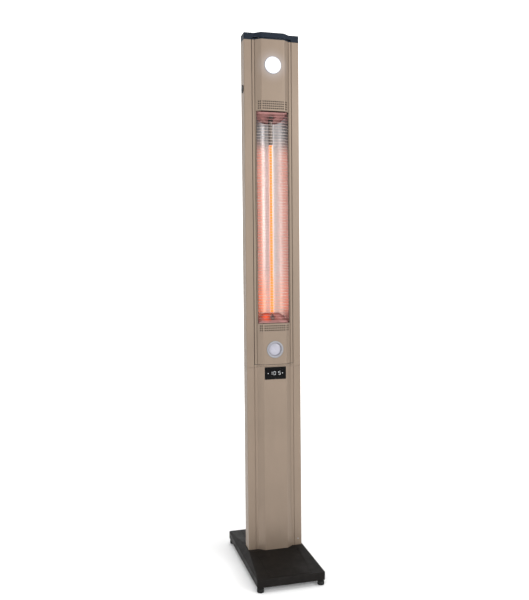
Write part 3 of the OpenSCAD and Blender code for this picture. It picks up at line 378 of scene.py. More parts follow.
def to_mesh(name, bm, mats, smooth=True):
    mesh = bpy.data.meshes.new(name)
    bm.normal_update()
    bm.to_mesh(mesh)
    bm.free()
    obj = bpy.data.objects.new(name, mesh)
    scene.collection.objects.link(obj)
    for m in mats if isinstance(mats, list) else [mats]:
        mesh.materials.append(m)
    if smooth:
        mesh.shade_smooth()
    return obj


def bevel(obj, width, segments=3, angle=28):
    b = obj.modifiers.new("edge", "BEVEL")
    b.width = width * MM
    b.segments = segments
    b.limit_method = "ANGLE"
    b.angle_limit = math.radians(angle)
    b.harden_normals = False
    w = obj.modifiers.new("normals", "WEIGHTED_NORMAL")
    w.keep_sharp = True
    return obj


def thicken(obj, thickness, offset):
    s = obj.modifiers.new("sheet", "SOLIDIFY")
    s.thickness = thickness * MM
    s.offset = offset
    return obj


def give(obj, body, slot_name, *replaced):
    """Hands a piece to its body and hides the nodes that it replaces; its slot is not used."""
    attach(obj, body)
    if replaced:
        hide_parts(*replaced)


def outward(bm):
    """The same mesh with its normals facing out."""
    bmesh.ops.recalc_face_normals(bm, faces=bm.faces)
    return bm


def vert_row(bm, points):
    return [bm.verts.new([c * MM for c in p]) for p in points]


def bridge(bm, a, b, closed=True):
    """Faces between two rows of vertices."""
    n = len(a)
    for i in range(n if closed else n - 1):
        j = (i + 1) % n
        bm.faces.new((a[i], a[j], b[j], b[i]))


def slab(bm, low, high):
    """Closed solid between two outlines of equal length."""
    low, high = vert_row(bm, low), vert_row(bm, high)
    bm.faces.new(low[::-1])
    bm.faces.new(high)
    bridge(bm, low, high)


def prism(bm, outline, z0, z1):
    """Closed solid from an outline in the XY plane."""
    slab(bm, [(x, y, z0) for x, y in outline], [(x, y, z1) for x, y in outline])


def loft(bm, rings, closed=True, ends="cap"):
    """Skin through rings of equal length. Its ends are capped, left open, or joined to each other."""
    rows = [vert_row(bm, ring) for ring in rings]
    for a, b in zip(rows, rows[1:]):
        bridge(bm, a, b, closed)
    if ends == "cap":
        bm.faces.new(rows[0][::-1])
        bm.faces.new(rows[-1])
    elif ends == "join":
        bridge(bm, rows[-1], rows[0])


def circle(r, n, z=0.0):
    turn = 2 * math.pi / n
    return [(r * math.cos(turn * i), r * math.sin(turn * i), z) for i in range(n)]


def turned(bm, profile, n, place):
    """Solid of revolution from (radius, height) pairs, placed by a function."""
    loft(bm, [[place(p) for p in circle(max(r, 0.01), n, h)] for r, h in profile])


def tube_along(bm, path, r, n):
    """Round wire along a list of points."""
    rings = []
    pts = [Vector(p) for p in path]
    up = None
    for i, p in enumerate(pts):
        before = pts[i - 1] if i else p
        after = pts[i + 1] if i + 1 < len(pts) else p
        t = (after - before).normalized()
        if up is None:
            up = t.orthogonal().normalized()
        up = (up - t * up.dot(t)).normalized()
        side = t.cross(up)
        rings.append([tuple(p + up * a + side * b) for a, b, _ in circle(r, n)])
    loft(bm, rings)


def to_front(x, y, z):
    """Place for turned parts on the front: a profile's height points to -Y."""
    return lambda p: (x + p[0], y - p[2], z + p[1])


def rounded_rect(w, h, r, n):
    """Rectangle round the origin, its corners of radius r in n steps."""
    pts = []
    for cx, cy, a0 in ((1, 1, 0), (-1, 1, 90), (-1, -1, 180), (1, -1, 270)):
        for i in range(n + 1):
            a = math.radians(a0 + 90 * i / n)
            pts.append((cx * (w / 2 - r) + r * math.cos(a), cy * (h / 2 - r) + r * math.sin(a)))
    return pts


def smoothed(f, x, reach):
    """Mean of f at five places around x, which rounds its bends."""
    return sum(f(x + reach * k / 2) for k in (-2, -1, 0, 1, 2)) / 5


# Sizes shared with the frame, in mm

HALF_W, HALF_D, POST_IN, POST_MID, TOTAL_H = 105.0, 25.0, 76.0, 90.5, 2000.0
FRONT_Y, FACET, CHAMFER = 43.0, 44.0, 66.0
OPEN_Z0, OPEN_Z1, OPEN_HALF = 930.0, 1716.0, 62.0
MOUTH_HALF, MOUTH_Y, BACK_Y = 61.8, -24.6, 15.0
TUBE_Y, TUBE_Z0, TUBE_Z1 = -4.0, 956.0, 1690.0
PIVOT_Z, LAMP_TOP, LAMP_LOW = 1800.0, 1882.0, 832.0
DISPLAY_Z, DISPLAY_W, DISPLAY_H = 743.0, 83.0, 47.0
BASE_W, BASE_L, FOOT_H, RIM_TOP, COVER_TOP = 252.0, 480.0, 20.0, 48.0, 70.0
FOOT_X, FOOT_Y = 112.0, 226.0


# Body panels and posts: the frame's own solids with softened edges

for name in ("lower_post_left", "lower_post_right", "upper_post_left", "upper_post_right",
             "lower_front_panel", "lower_back_panel", "head_shell", "top_end_cap",
             "bottom_end_cap", "crossbar_lid", "crossbar_fascia"):
    weld = nodes[name].modifiers.new("weld", "WELD")
    weld.merge_threshold = 0.02 * MM
    bevel(nodes[name], 0.5, 2, 24)


# Base cover: rounded rim, four sloped faces, an opening round the column and beads on the slopes

EAVE_Z, EAVE_W, EAVE_L = RIM_TOP + 0.15, BASE_W - 4, BASE_L - 4
ROOF_W, ROOF_L = 216.0, 92.0


def between(a, b, t):
    return a + (b - a) * t


def base_cover():
    bm = bmesh.new()
    corner_r, corner_n, steps = 9.0, 8, 10
    rings = []
    for inset, z in ((3.0, FOOT_H), (0.8, FOOT_H), (0.0, FOOT_H + 0.9), (0.0, RIM_TOP - 2.2),
                     (0.25, RIM_TOP - 1.2), (0.9, RIM_TOP - 0.4), (2.0, EAVE_Z)):
        rim = rounded_rect(BASE_W - 2 * inset, BASE_L - 2 * inset, corner_r, corner_n)
        rings.append([(x, y, z) for x, y in rim])
    for i in range(1, steps + 1):
        t = i / steps
        slope = rounded_rect(between(EAVE_W, ROOF_W, t), between(EAVE_L, ROOF_L, t),
                             between(corner_r, 4.0, t), corner_n)
        rings.append([(x, y, between(EAVE_Z, COVER_TOP, t)) for x, y in slope])
    quarter = [(105.4, 20.0), (105.4, 25.4), (92.0, 25.4), (79.0, 25.4), (66.3, 25.4),
               (59.0, 31.4), (51.7, 37.4), (44.4, 43.4), (40.0, 43.4)]
    collar = quarter + [(-x, y) for x, y in quarter[::-1]]
    collar += [(-x, -y) for x, y in collar]
    for grow, drop in ((1.0, 0.0), (0.2, 0.3), (0.0, 1.0), (0.0, 3.0)):
        rings.append([(x + math.copysign(grow, x), y + math.copysign(grow, y), COVER_TOP - drop)
                      for x, y in collar])
    loft(bm, rings, ends="open")
    obj = bevel(to_mesh("base_shell", outward(bm), SLOTS["base_paint"]), 0.3, 2, 20)
    give(obj, "column", "base_paint", "base_cover")


def base_field(side, name):
    """Narrow raised bead that outlines the field on the slope."""
    bm = bmesh.new()
    half, y0, y1, w, h, sunk = 77.0, 52.0, 231.0, 1.8, 0.9, 0.4

    def roof(y):
        return between(EAVE_Z, COVER_TOP, (EAVE_L / 2 - abs(y)) / (EAVE_L / 2 - ROOF_L / 2))

    for x0, x1, ya, yb in ((-half - w, -half, y0, y1), (half, half + w, y0, y1), (-half, half, y1 - w, y1)):
        pts = [(x, side * y) for x, y in ((x0, ya), (x1, ya), (x1, yb), (x0, yb))]
        slab(bm, [(x, y, roof(y) - sunk) for x, y in pts], [(x, y, roof(y) + h) for x, y in pts])
    give(bevel(to_mesh(name, outward(bm), SLOTS["base_paint"]), 0.25, 2), "column", "base_paint")


base_cover()
base_field(-1, "field_bead_front")
base_field(1, "field_bead_back")


# Rubber feet with a rounded sole, grip grooves and a neck


def feet():
    bm = bmesh.new()
    profile = [(5.4, 8.0), (5.4, 0.6), (6.0, 0.0), (8.4, 0.0), (8.7, 0.5), (9.1, 0.5), (9.4, 0.0),
               (10.4, 0.15), (11.8, 1.2), (12.4, 2.8), (12.5, 5.0), (12.4, 12.6), (12.0, 14.2),
               (11.0, 14.9), (9.4, 15.0), (9.0, 15.4), (9.0, FOOT_H)]
    for sx in (-1, 1):
        for sy in (-1, 1):
            turned(bm, profile, 48, lambda p: (p[0] + sx * FOOT_X, p[1] + sy * FOOT_Y, p[2]))
    give(to_mesh("feet", bm, SLOTS["foot_rubber"]), "column", "foot_rubber", "rubber_feet")


feet()


# Handle: one moulded bar over both posts, scooped underneath along the head's swing


SWING_R = 185.4


def front(x):
    """Distance of the body's front from the middle plane at x."""
    x = abs(x)
    if x <= FACET:
        return FRONT_Y
    if x <= CHAMFER:
        return FRONT_Y - (FRONT_Y - HALF_D) * (x - FACET) / (CHAMFER - FACET)
    return HALF_D


def handle():
    bm = bmesh.new()
    rings = []
    end_x, end_len, end_in, end_drop, edge_r, chin, under_post = 102.5, 2.5, 1.6, 1.4, 1.2, 0.5, 1975.0
    tips = [end_x, 104.0, 104.7, HALF_W]
    for x in [-t for t in tips[::-1]] + [-100 + 2.0 * i for i in range(101)] + tips:
        end = max(0.0, abs(x) - end_x) / end_len
        y = smoothed(front, x, 3) - end_in * end * end
        top = TOTAL_H - end_drop * end * end
        corner = []
        for t in range(0, 91, 18):
            a = math.radians(t)
            corner.append((y - edge_r + edge_r * math.sin(a), top - edge_r + edge_r * math.cos(a)))
        ring = [(-d, z) for d, z in corner[::-1]] + corner
        flat = [(y - chin) * k / 6 for k in range(6, -7, -1)]
        for d, lift in [(y, chin)] + [(d, 0.0) for d in flat] + [(-y, chin)]:
            arc = PIVOT_Z + math.sqrt(SWING_R ** 2 - min(abs(d), FRONT_Y) ** 2)
            ring.append((d, (under_post if abs(x) >= POST_IN else arc) + lift))
        rings.append([(x, d, z) for d, z in ring])
    loft(bm, rings)
    plug_half_w, plug_half_d, plug_z0, plug_z1 = 12.3, 22.8, 1945, 1976
    for s in (-1, 1):
        prism(bm, [(s * POST_MID + dx * plug_half_w, dy * plug_half_d)
                   for dx, dy in ((-1, -1), (1, -1), (1, 1), (-1, 1))], plug_z0, plug_z1)
    obj = bevel(to_mesh("handle_bar", outward(bm), SLOTS["black_plastic"]), 0.3, 2, 40)
    give(obj, "frame", "black_plastic", "handle")


handle()


# Pivot caps: domed discs with a small edge roll


def pivot_caps():
    bm = bmesh.new()
    profile = [(9.0, -3.6), (9.0, 0.0), (14.9, 0.0), (15.0, 0.3), (15.0, 1.0), (14.6, 1.8),
               (13.4, 2.5), (10.5, 2.9), (6.0, 3.0), (0.0, 3.0)]
    for s in (-1, 1):
        turned(bm, profile, 56, lambda p: (s * (HALF_W + p[2]), p[0], PIVOT_Z + p[1]))
    obj = to_mesh("pivot_discs", outward(bm), SLOTS["trim_black"])
    give(obj, "frame", "black_plastic", "pivot_caps")


pivot_caps()


# Front panel of the head: bent sheet with round punched vents, two lamp holes and the heater's opening


CHAMFER_LEN = math.hypot(CHAMFER - FACET, FRONT_Y - HALF_D)
PANEL_BEND = FACET + CHAMFER_LEN * (64.8 - FACET) / (CHAMFER - FACET)
OPEN_U = FACET + CHAMFER_LEN * (OPEN_HALF - FACET) / (CHAMFER - FACET)
VENT_X, VENT_Z, VENT_R, VENT_GAP = 7.6, 8.4, 2.6, 9
LAMP_HOLE, LAMP_CELL, PANEL_T, NEAR = 26.2, 36, 2, 0.01


def sheet_point(u):
    """Point on the panel's outer face, u mm along it from the middle line."""
    def sharp_x(v):
        a = abs(v)
        k = (min(a, PANEL_BEND) - FACET) / CHAMFER_LEN
        return math.copysign(a if a <= FACET else FACET + (CHAMFER - FACET) * k, v)

    def sharp_y(v):
        a = abs(v)
        if a <= FACET:
            return -FRONT_Y
        k = (min(a, PANEL_BEND) - FACET) / CHAMFER_LEN
        return -FRONT_Y + (FRONT_Y - HALF_D) * k + max(0.0, a - PANEL_BEND)

    return smoothed(sharp_x, u, 0.9), smoothed(sharp_y, u, 0.9)


def front_panel():
    (_, _, z_lo), (_, _, z_hi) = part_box("head_front_panel")
    z_lo, z_hi = z_lo / MM, z_hi / MM
    bm = bmesh.new()
    made = {}

    def vert(u, z):
        key = (round(u, 3), round(z, 3))
        if key not in made:
            x, y = sheet_point(u)
            made[key] = bm.verts.new((x * MM, y * MM, z * MM))
        return made[key]

    def punched(us, zs, r):
        """A cell with a round hole, its rim points set by the points on its sides."""
        cu, cz = (us[0] + us[-1]) / 2, (zs[0] + zs[-1]) / 2
        edge = [(u, zs[0]) for u in us[:-1]] + [(us[-1], z) for z in zs[:-1]]
        edge += [(u, zs[-1]) for u in us[:0:-1]] + [(us[0], z) for z in zs[:0:-1]]
        angles = [math.atan2(z - cz, u - cu) for u, z in edge]
        rim = [vert(cu + r * math.cos(a), cz + r * math.sin(a)) for a in angles]
        bridge(bm, [vert(u, z) for u, z in edge], rim)

    def steps(a, b, n):
        return [a + (b - a) * i / n for i in range(n + 1)]

    cells = [(i - 5.5) * VENT_X for i in range(12)]
    side_cells = [FACET + (0.2 + i) * VENT_X for i in range(3)]
    bend = (-1.2, -0.4, 0.4, 1.2)
    half = [c for c in cells if c > 0] + [FACET + d for d in bend] + side_cells
    half += [OPEN_U] + [PANEL_BEND + d for d in bend] + [PANEL_BEND + 12.0]
    us = sorted([-u for u in half] + half)
    vent_u = {round(u, 3) for u in cells[:-1] + side_cells[:-1] + [-s for s in side_cells[1:]]}
    up = [OPEN_Z1 + VENT_GAP - VENT_Z / 2 + VENT_Z * i for i in range(5)]
    down = [OPEN_Z0 - VENT_GAP + VENT_Z / 2 - VENT_Z * i for i in range(4)]
    vent_z = {round(z, 3) for z in up[:-1] + down[1:]}
    lamps = [(z - LAMP_CELL, z + LAMP_CELL) for z in (LAMP_LOW, LAMP_TOP)]
    zs = sorted({z_lo, z_hi, OPEN_Z0, OPEN_Z1, *up, *down, *lamps[0], *lamps[1]})
    for z0, z1 in zip(zs, zs[1:]):
        in_lamp = any(z0 >= a - NEAR and z1 <= b + NEAR for a, b in lamps)
        opening = z0 >= OPEN_Z0 - NEAR and z1 <= OPEN_Z1 + NEAR
        if in_lamp:
            punched(cells, steps(z0, z1, 11), LAMP_HOLE)
        for u0, u1 in zip(us, us[1:]):
            if in_lamp and u0 >= cells[0] - NEAR and u1 <= cells[-1] + NEAR:
                continue
            if opening and abs(u0 + u1) / 2 < OPEN_U:
                continue
            if round(z0, 3) in vent_z and round(u0, 3) in vent_u and u1 - u0 > VENT_X - 0.6:
                punched(steps(u0, u1, 4), steps(z0, z1, 4), VENT_R)
            else:
                bm.faces.new((vert(u0, z0), vert(u1, z0), vert(u1, z1), vert(u0, z1)))
    outward(bm)
    if sum(f.normal.y for f in bm.faces) > 0:
        bmesh.ops.reverse_faces(bm, faces=bm.faces)
    bmesh.ops.solidify(bm, geom=bm.faces[:], thickness=PANEL_T * MM)
    obj = to_mesh("punched_panel", bm, panel_paint_lamp_glow)
    obj.data.set_sharp_from_angle(angle=math.radians(30))
    give(obj, "head", "body_paint", "head_front_panel")


front_panel()


def vent_shade_sheets():
    """Dark sheets behind the vents, bent with the sheet; they are painted shade for the dark inside of the
    head.
    """
    bm = bmesh.new()
    outer = [sheet_point(-59 + 2.0 * i) for i in range(60)]
    face = [(x * 0.985, y + 2.4) for x, y in outer]
    rear = [(x * 0.975, y + 3.2) for x, y in outer]
    over = 4.0
    for z0, z1 in ((OPEN_Z1 + over, OPEN_Z1 + VENT_GAP + 3.6 * VENT_Z),
                   (OPEN_Z0 - VENT_GAP - 2.6 * VENT_Z, OPEN_Z0 - over)):
        prism(bm, face + rear[::-1], z0, z1)
    # painted shade: a dark matt sheet where the inside of the head is only in shade
    obj = to_mesh("vent_shade_sheets", outward(bm), SLOTS["cable_rubber"], smooth=False)
    give(obj, "head", "cable_rubber")


vent_shade_sheets()


# Guard grille: round wires bent to the panel's outline, and rails with a collar at each wire's end


def grille():
    bm = bmesh.new()
    pitch, count, points = 10.5, 74, 44
    first = OPEN_Z0 + (OPEN_Z1 - OPEN_Z0 - (count - 1) * pitch) / 2
    end_x, inset = OPEN_HALF - 0.4, 1.5
    xs = [-end_x + 2 * end_x * i / points for i in range(points + 1)]
    path = [(x, inset - smoothed(front, x, 2.4)) for x in xs]
    for i in range(count):
        z = first + i * pitch
        sag, lean = 0.12 * math.sin(i * 1.7), 0.05 * math.cos(i)
        tube_along(bm, [(x, y + lean, z + sag * (1 - (x / OPEN_HALF) ** 2)) for x, y in path], 1.0, 8)
    give(to_mesh("guard_wires", outward(bm), SLOTS["guard_wire"]), "head", "guard_wire", "guard_grille")
    bm = bmesh.new()
    rail_x, rail_n, rail_gap = 60.6, 40, 0.8
    rail_z0, rail_z1 = OPEN_Z0 + rail_gap, OPEN_Z1 - rail_gap
    collar_x, reach = 59.4, 1.2
    for s in (-1, 1):
        y = 3.4 - front(rail_x)
        tube_along(bm, [(s * rail_x, y, between(rail_z0, rail_z1, k / rail_n)) for k in range(rail_n + 1)],
                   1.2, 8)
        for i in range(count):
            z = first + i * pitch
            y = -front(collar_x)
            tube_along(bm, [(s * (collar_x + reach), y + 3.4, z), (s * collar_x, y + 2.2, z),
                            (s * (collar_x - reach), y + 1.4, z)], 1.55, 10)
    # painted shade: the dark rails and collars stand in for the shade in the groove between the opening's
    # edge and the reflector's mouth
    give(to_mesh("wire_collars_groove_shade", outward(bm), burnt_and_groove_shade), "head", "guard_wire")


grille()


# Reflector: one smooth rolled trough with a small central ridge, and sloped folded ends


def trough_outline(n=72):
    """Points of the trough from its left mouth to its right one."""
    pts = []
    for i in range(n + 1):
        t = math.sin(math.pi / 2 * (-1 + 2 * i / n))
        u = abs(t)
        depth = (1 - u ** 3.2) ** 0.75 if u < 1 else 0.0
        x = MOUTH_HALF * t
        ridge = 2.6 * math.exp(-((x / 9.0) ** 2))
        pts.append((x, MOUTH_Y + (BACK_Y - MOUTH_Y) * depth - ridge))
    return pts


def reflector():
    bm = bmesh.new()
    outline, n = trough_outline(), 60
    loft(bm, [[(x, y, between(OPEN_Z0, OPEN_Z1, k / n)) for x, y in outline] for k in range(n + 1)],
         closed=False, ends="open")
    obj = thicken(to_mesh("reflector_trough", bm, SLOTS["mirror_alu"]), 0.8, 1)
    give(obj, "head", "mirror_alu", "reflector")


def reflector_end(z, way, name):
    """Sloped end with a hole for the tube; it meets the trough all round."""
    bm = bmesh.new()
    slope = way * 38.0 / (BACK_Y - MOUTH_Y)
    hole_r, mouth_n = 7.6, 20
    outer, inner = [], []
    outline = trough_outline()
    outline += [(MOUTH_HALF * (1 - 2 * i / mouth_n), MOUTH_Y) for i in range(1, mouth_n)]
    for x, y in outline:
        outer.append((x, y, z + slope * (y - MOUTH_Y)))
        a = math.atan2(y - TUBE_Y, x)
        hy = TUBE_Y + hole_r * math.sin(a)
        inner.append((hole_r * math.cos(a), hy, z + slope * (hy - MOUTH_Y)))
    mid = [tuple((a + b) / 2 for a, b in zip(p, q)) for p, q in zip(outer, inner)]
    loft(bm, [outer, mid, inner], ends="open")
    give(thicken(to_mesh(name, bm, glow_painted_end_plate), 1.0, 0), "head", "mirror_alu", "reflector_ends")


glow_painted_end_plate = end_plate_painted_glow()
reflector()
reflector_end(OPEN_Z1 - 0.6, -1, "reflector_end_top")
reflector_end(OPEN_Z0 + 0.6, 1, "reflector_end_low")


# Quartz tube with pinched ends, wound element, cold leads, sleeve and sockets


def at_tube(p):
    return p[0], TUBE_Y + p[1], p[2]


def hollow(bm, profile, n):
    """Ring-shaped solid round the tube's axis, from its closed (radius, height) profile."""
    loft(bm, [[at_tube(p) for p in circle(r, n, z)] for r, z in profile], ends="join")


def quartz_tube():
    bm = bmesh.new()
    r, pinched, wall, bore, end = 7.0, 4.5, 1.2, 2.6, 8
    outer = [(pinched, TUBE_Z0), (6.6, TUBE_Z0 + 3), (r, TUBE_Z0 + end)]
    outer += [(r, between(TUBE_Z0 + end, TUBE_Z1 - end, k / 24)) for k in range(1, 25)]
    outer += [(6.6, TUBE_Z1 - 3), (pinched, TUBE_Z1)]
    hollow(bm, outer + [(max(a - wall, bore), z) for a, z in outer][::-1], 48)
    obj = to_mesh("quartz_envelope", outward(bm), SLOTS["tube_quartz"])
    give(obj, "head", "tube_quartz", "quartz_tube")


def element():
    z0, z1 = TUBE_Z0 + 14, TUBE_Z1 - 92
    coil_r, coil_wire, core_r, turns, per = 4.3, 1.0, 4.0, 118, 12
    bm = bmesh.new()
    coil = []
    n = turns * per
    for i in range(n + 1):
        a = 2 * math.pi * i / per
        coil.append(at_tube((coil_r * math.cos(a), coil_r * math.sin(a), between(z0, z1, i / n))))
    tube_along(bm, coil, coil_wire, 6)
    tube_along(bm, [(0, TUBE_Y, between(z0, z1, k / 30)) for k in range(31)], core_r, 16)
    give(to_mesh("lit_coil", bm, SLOTS["element_glow"]), "head", "element_glow", "heating_element")

    bm = bmesh.new()
    lead_r, pin_r = 4.9, 0.9
    lead = [(0.0, z1), (4.0, z1), (lead_r, z1 + 3), (lead_r, TUBE_Z1 - 22), (4.0, TUBE_Z1 - 18),
            (pin_r, TUBE_Z1 - 16), (pin_r, TUBE_Z1), (0.0, TUBE_Z1)]
    turned(bm, lead, 28, at_tube)
    for k in range(4):
        z = z1 + 8 + k * 16
        turned(bm, [(lead_r, z), (5.4, z + 0.3), (5.4, z + 2.2), (lead_r, z + 2.5)], 24, at_tube)
    tube_along(bm, [(0, TUBE_Y, TUBE_Z0), (0, TUBE_Y, z0)], 3.0, 16)
    give(to_mesh("cold_leads", outward(bm), tube_end), "head", "zinc_steel")

    bm = bmesh.new()
    lo, hi, inner, lip, outer = z1 - 2, TUBE_Z1 - 3, 7.05, 7.3, 7.5
    sleeve = [(inner, lo), (lip, lo), (outer, lo + 0.4)]
    sleeve += [(outer, between(lo, hi, k / 12)) for k in range(1, 12)]
    sleeve += [(outer, hi - 0.4), (lip, hi), (inner, hi)]
    hollow(bm, sleeve, 40)
    give(to_mesh("tube_sleeve", outward(bm), tube_end), "head", "zinc_steel")


def sockets():
    bm = bmesh.new()
    strap_half, strap_y, strap_t, strap_gap = 6, 41, 3, 2
    for z, way, strap in ((TUBE_Z1, 1, OPEN_Z1 + strap_gap), (TUBE_Z0, -1, OPEN_Z0 - strap_gap)):
        profile = [(4.4, 4.4), (5.4, 4.4), (5.8, 4.9), (5.8, 7.0), (9.0, 8.0), (9.5, 8.6), (9.5, 13.0),
                   (8.6, 14.0), (8.6, 17.0), (9.5, 18.0), (9.5, abs(strap - z))]
        turned(bm, [(r, z + way * h) for r, h in profile], 40, at_tube)
        corners = [(-strap_half, TUBE_Y - strap_half), (strap_half, TUBE_Y - strap_half),
                   (strap_half, strap_y), (-strap_half, strap_y)]
        prism(bm, corners, *sorted((strap, strap + way * strap_t)))
    obj = bevel(to_mesh("ceramic_sockets", outward(bm), SLOTS["socket_ceramic"]), 0.3, 2, 40)
    give(obj, "head", "socket_ceramic", "tube_sockets")

    def clip_path(points):
        """Points of the clip, from (x, depth behind its front, height over the tube's end)."""
        return [(x, TUBE_Y - 10.0 + depth, TUBE_Z1 + z) for x, depth, z in points]

    bm = bmesh.new()
    tube_along(bm, clip_path([(5.0, 4, -9), (5.0, 0, -7), (5.0, 0, 4), (4.2, 0, 6), (-7.4, 0, 6),
                              (-8.8, 0, 4), (-9.0, 0, -6), (-9.4, 0, -11), (-9.4, 5, -15)]), 1.8, 10)
    tube_along(bm, clip_path([(-9.6, 0.5, -5.5), (-9.6, 0.5, -12.5)]), 2.6, 12)
    give(to_mesh("spring_clip", bm, burnt_and_groove_shade), "head", "zinc_steel")

    bm = bmesh.new()
    screw_z = TUBE_Z0 + 1
    head = [(0.0, 0.0), (2.2, 0.0), (2.9, 0.4), (2.9, 1.6), (2.4, 2.0), (1.0, 2.0), (0.8, 1.2), (0.0, 1.2)]
    turned(bm, head, 24, to_front(0, TUBE_Y - 9.0, screw_z))
    tube_along(bm, [(0, TUBE_Y - 9.5, screw_z), (0, TUBE_Y - 2, screw_z)], 1.6, 10)
    give(to_mesh("socket_screw", outward(bm), burnt_and_groove_shade), "head", "zinc_steel")


quartz_tube()
element()
sockets()


# Round lamps: stepped ring with a plain outer rim, domed lens, and fins behind


def lamp(z, face, lens, name):
    place = to_front(0, -FRONT_Y, z)
    bm = bmesh.new()
    ring = [(25.9, -14.0), (26.0, 0.0), (31.6, 0.0), (32.0, 0.4), (32.0, 1.1), (31.5, 1.7),
            (30.5, 2.0), (27.6, 2.0), (26.6, 1.6), (25.6, 0.2), (24.6, -0.6), (24.0, -1.4),
            (24.0, -7.0), (24.0, -13.5)]
    turned(bm, ring, 72, place)
    rim_r = 30.7
    for f in outward(bm).faces:
        x, _, height = f.calc_center_median()
        f.material_index = 1 if math.hypot(x, height - z * MM) > rim_r * MM else 0
    give(to_mesh(name + "_ring", bm, [face, ring_edge]), "head", "lamp_ring", "lamps")
    bm = bmesh.new()
    lens_r, sunk, rise = 24.0, -6.2, 3.4
    dome = [(lens_r, -8.0), (lens_r, sunk)]
    dome += [(lens_r * math.cos(math.radians(a)), sunk + rise * math.sin(math.radians(a)))
             for a in range(9, 90, 9)]
    turned(bm, dome + [(0.0, sunk + rise)], 60, place)
    give(to_mesh(name + "_lens", outward(bm), lens), "head", "lamp_ring")
    bm = bmesh.new()
    fin_half, fin_pitch, y0, y1 = 0.75, 8.0, 14 - FRONT_Y, 22 - FRONT_Y
    for i in range(5):
        x = (i - 2) * fin_pitch
        prism(bm, [(x - fin_half, y0), (x + fin_half, y0), (x + fin_half, y1), (x - fin_half, y1)],
              z - 12, z + 12)
    turned(bm, [(lens_r, -8.2), (25.0, -8.2), (25.0, -14.0), (0.0, -14.0)], 40, place)
    obj = to_mesh(name + "_sink", outward(bm), SLOTS["cast_alu"], smooth=False)
    give(obj, "head", "cast_alu")


lamp(LAMP_TOP, ring_on, lamp_on, "lamp_top")
lamp(LAMP_LOW, SLOTS["lamp_ring"], lamp_off, "lamp_low")


# Display: rounded trim, glossy window and seven-segment digits with mitred ends


def display_outline(w, h, r, depth):
    """Rounded outline round the display's middle, depth in front of the panel."""
    return [(x, -FRONT_Y - depth, DISPLAY_Z + y) for x, y in rounded_rect(w, h, r, 6)]


def display():
    bm = bmesh.new()
    steps = ((1.3, 1.0, -5.5), (1.3, 1.0, 0.0), (0.3, 2.0, 0.0), (0.0, 2.2, 0.25), (0.1, 2.1, 0.6),
             (0.4, 1.9, 0.8), (1.7, 1.2, 0.8), (2.2, 1.0, 0.35), (2.3, 1.0, -1.2), (3.2, 1.0, -1.2),
             (3.2, 1.0, -5.5))
    loft(bm, [display_outline(DISPLAY_W - 2 * inset, DISPLAY_H - 2 * inset, r, depth)
              for inset, r, depth in steps], ends="join")
    obj = to_mesh("display_trim_ring", outward(bm), SLOTS["trim_black"])
    give(obj, "column", "trim_black", "display_frame")
    bm = bmesh.new()
    loft(bm, [display_outline(w, h, 1.0, depth)
              for w, h, depth in ((78.2, 42.2, -1.2), (78.2, 42.2, 0.35), (77.6, 41.6, 0.55))])
    obj = to_mesh("display_glass", outward(bm), SLOTS["window_black"], smooth=False)
    give(obj, "column", "window_black", "display_window")


def digits():
    bm = bmesh.new()
    w, h, stroke, gap, z0, z1 = 7.4, 12.4, 0.9, 0.25, 0.56, 0.74
    bars = [(0, h / 2, 0), (w / 2, h / 4, 1), (w / 2, -h / 4, 1), (0, -h / 2, 0), (-w / 2, -h / 4, 1),
            (-w / 2, h / 4, 1), (0, 0, 0)]
    lit = {1: (1, 2), 0: (0, 1, 2, 3, 4, 5), 5: (0, 2, 3, 5, 6)}
    m = stroke / 2
    for digit, cx in ((1, -16.5), (0, -2.8), (5, 15.8)):
        for i in lit[digit]:
            x, z, upright = bars[i]
            half = (h / 4 if upright else w / 2) - gap
            pts = [(-half, 0), (m - half, m), (half - m, m), (half, 0), (half - m, -m), (m - half, -m)]
            if upright:
                pts = [(v, -u) for u, v in pts]
            loft(bm, [[(cx + x + px, -FRONT_Y - depth, DISPLAY_Z + z + pz) for px, pz in pts]
                      for depth in (z0, z1)])
    dot_x, dot_r = 28, 1.4
    for x in (-dot_x, dot_x):
        turned(bm, [(0.0, z0), (dot_r, z0), (dot_r - 0.1, z1), (0.0, z1)], 20,
               to_front(x, -FRONT_Y, DISPLAY_Z - 0.5))
    obj = to_mesh("lit_digits", outward(bm), SLOTS["digit_light"], smooth=False)
    give(obj, "column", "digit_light", "display_digits")


display()
digits()


# Small domed screw at the right post's foot


def post_screw():
    bm = bmesh.new()
    profile = [(2.4, -1.0), (2.4, 0.0), (2.3, 0.4), (1.7, 0.8), (0.9, 0.95), (0.8, 0.5), (0.0, 0.5)]
    turned(bm, profile, 20, to_front(POST_MID, -HALF_D, 94))
    give(to_mesh("post_screw_front", outward(bm), SLOTS["zinc_steel"]), "column", "zinc_steel")


post_screw()


# Stage: pale floor that runs into a white backdrop, three soft lights and an even sky


def backdrop():
    m = Mat("floor", (0.97, 0.97, 0.97), 0.7)
    m.tint(m.span(m.noise(3, 3), 0.4, 0.7, 0, 0.4), (0.95, 0.95, 0.95))
    m.bump(m.noise(400, 2), 0.03, 0.0003)
    far = m.span(m.spot((0, 0, 0), 4.0), 0.7, 0.3)
    seen = m.node("ShaderNodeLightPath").outputs["Is Camera Ray"]
    m.emit(m.math("MULTIPLY", far, seen), WHITE, 0.5)
    bm = bmesh.new()
    half, bend_y, bend_r = 12000, 3500, 1500
    rows = [(-9000, 0.0), (bend_y, 0.0)]
    for t in range(10, 91, 10):
        a = math.radians(t)
        rows.append((bend_y + bend_r * math.sin(a), bend_r - bend_r * math.cos(a)))
    rows.append((bend_y + bend_r, 8000))
    loft(bm, [[(-half, y, z), (half, y, z)] for y, z in rows], closed=False, ends="open")
    to_mesh("backdrop", bm, m.mat)


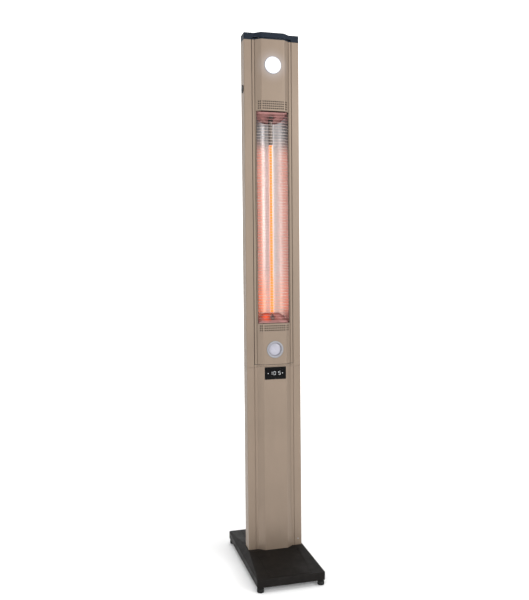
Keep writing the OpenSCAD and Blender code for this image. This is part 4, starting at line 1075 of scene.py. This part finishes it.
def area_light(name, place, target, size, size_y, power):
    data = bpy.data.lights.new(name, "AREA")
    data.energy = power
    data.shape = "RECTANGLE"
    data.size = size
    data.size_y = size_y
    obj = bpy.data.objects.new(name, data)
    obj.location = place
    obj.rotation_euler = (Vector(target) - Vector(place)).to_track_quat("-Z", "Y").to_euler()
    scene.collection.objects.link(obj)


def sky():
    """Even white light, and plain white where the camera, gloss or glass sees it."""
    world = bpy.data.worlds.new("studio")
    world.use_nodes = True
    tree = world.node_tree
    back = tree.nodes["Background"]
    back.inputs["Color"].default_value = (*WHITE, 1)
    path = tree.nodes.new("ShaderNodeLightPath")
    seen = path.outputs["Is Camera Ray"]
    for kind in ("Is Glossy Ray", "Is Transmission Ray"):
        either = tree.nodes.new("ShaderNodeMath")
        either.operation = "MAXIMUM"
        tree.links.new(seen, either.inputs[0])
        tree.links.new(path.outputs[kind], either.inputs[1])
        seen = either.outputs[0]
    level = tree.nodes.new("ShaderNodeMapRange")
    level.inputs["To Min"].default_value = 0.9
    level.inputs["To Max"].default_value = 1.0
    tree.links.new(seen, level.inputs["Value"])
    tree.links.new(level.outputs["Result"], back.inputs["Strength"])
    scene.world = world


backdrop()
area_light("key", (2.6, -3.6, 2.2), (0, 0, 1.0), 1.6, 2.2, 86)
area_light("fill", (-3.2, -2.9, 1.5), (0, 0, 0.9), 1.8, 2.2, 32)
area_light("top", (0.0, -0.4, 4.6), (0, 0, 0.8), 2.6, 2.6, 48)
sky()
scene.view_settings.view_transform = "Standard"


# Camera: the photograph's viewing angle

FOCAL_PX, IMAGE_H_PX, SENSOR = 700.65, 600, 36.0


def camera():
    azimuth, distance, height = math.radians(-15.46), 2.65694, 1.15012
    yaw, pitch, roll = math.radians(0.59), math.radians(-2.89), math.radians(-0.51)
    heading = azimuth + yaw
    level = Vector((-math.sin(heading), math.cos(heading), 0))
    vertical = Vector((0, 0, 1))
    look = level * math.cos(pitch) + vertical * math.sin(pitch)
    right = look.cross(vertical).normalized()
    up = right.cross(look)
    x_axis = right * math.cos(roll) + up * math.sin(roll)
    y_axis = -right * math.sin(roll) + up * math.cos(roll)
    place = Vector((math.sin(azimuth) * distance, -math.cos(azimuth) * distance, height))
    data = bpy.data.cameras.new("camera")
    data.sensor_width = SENSOR
    data.lens = FOCAL_PX * SENSOR / IMAGE_H_PX
    data.clip_end = 60
    cam = bpy.data.objects.new("camera", data)
    scene.collection.objects.link(cam)
    turn = Matrix((x_axis, y_axis, -look)).transposed()
    cam.matrix_world = Matrix.Translation(place) @ turn.to_4x4()
    scene.camera = cam


camera()
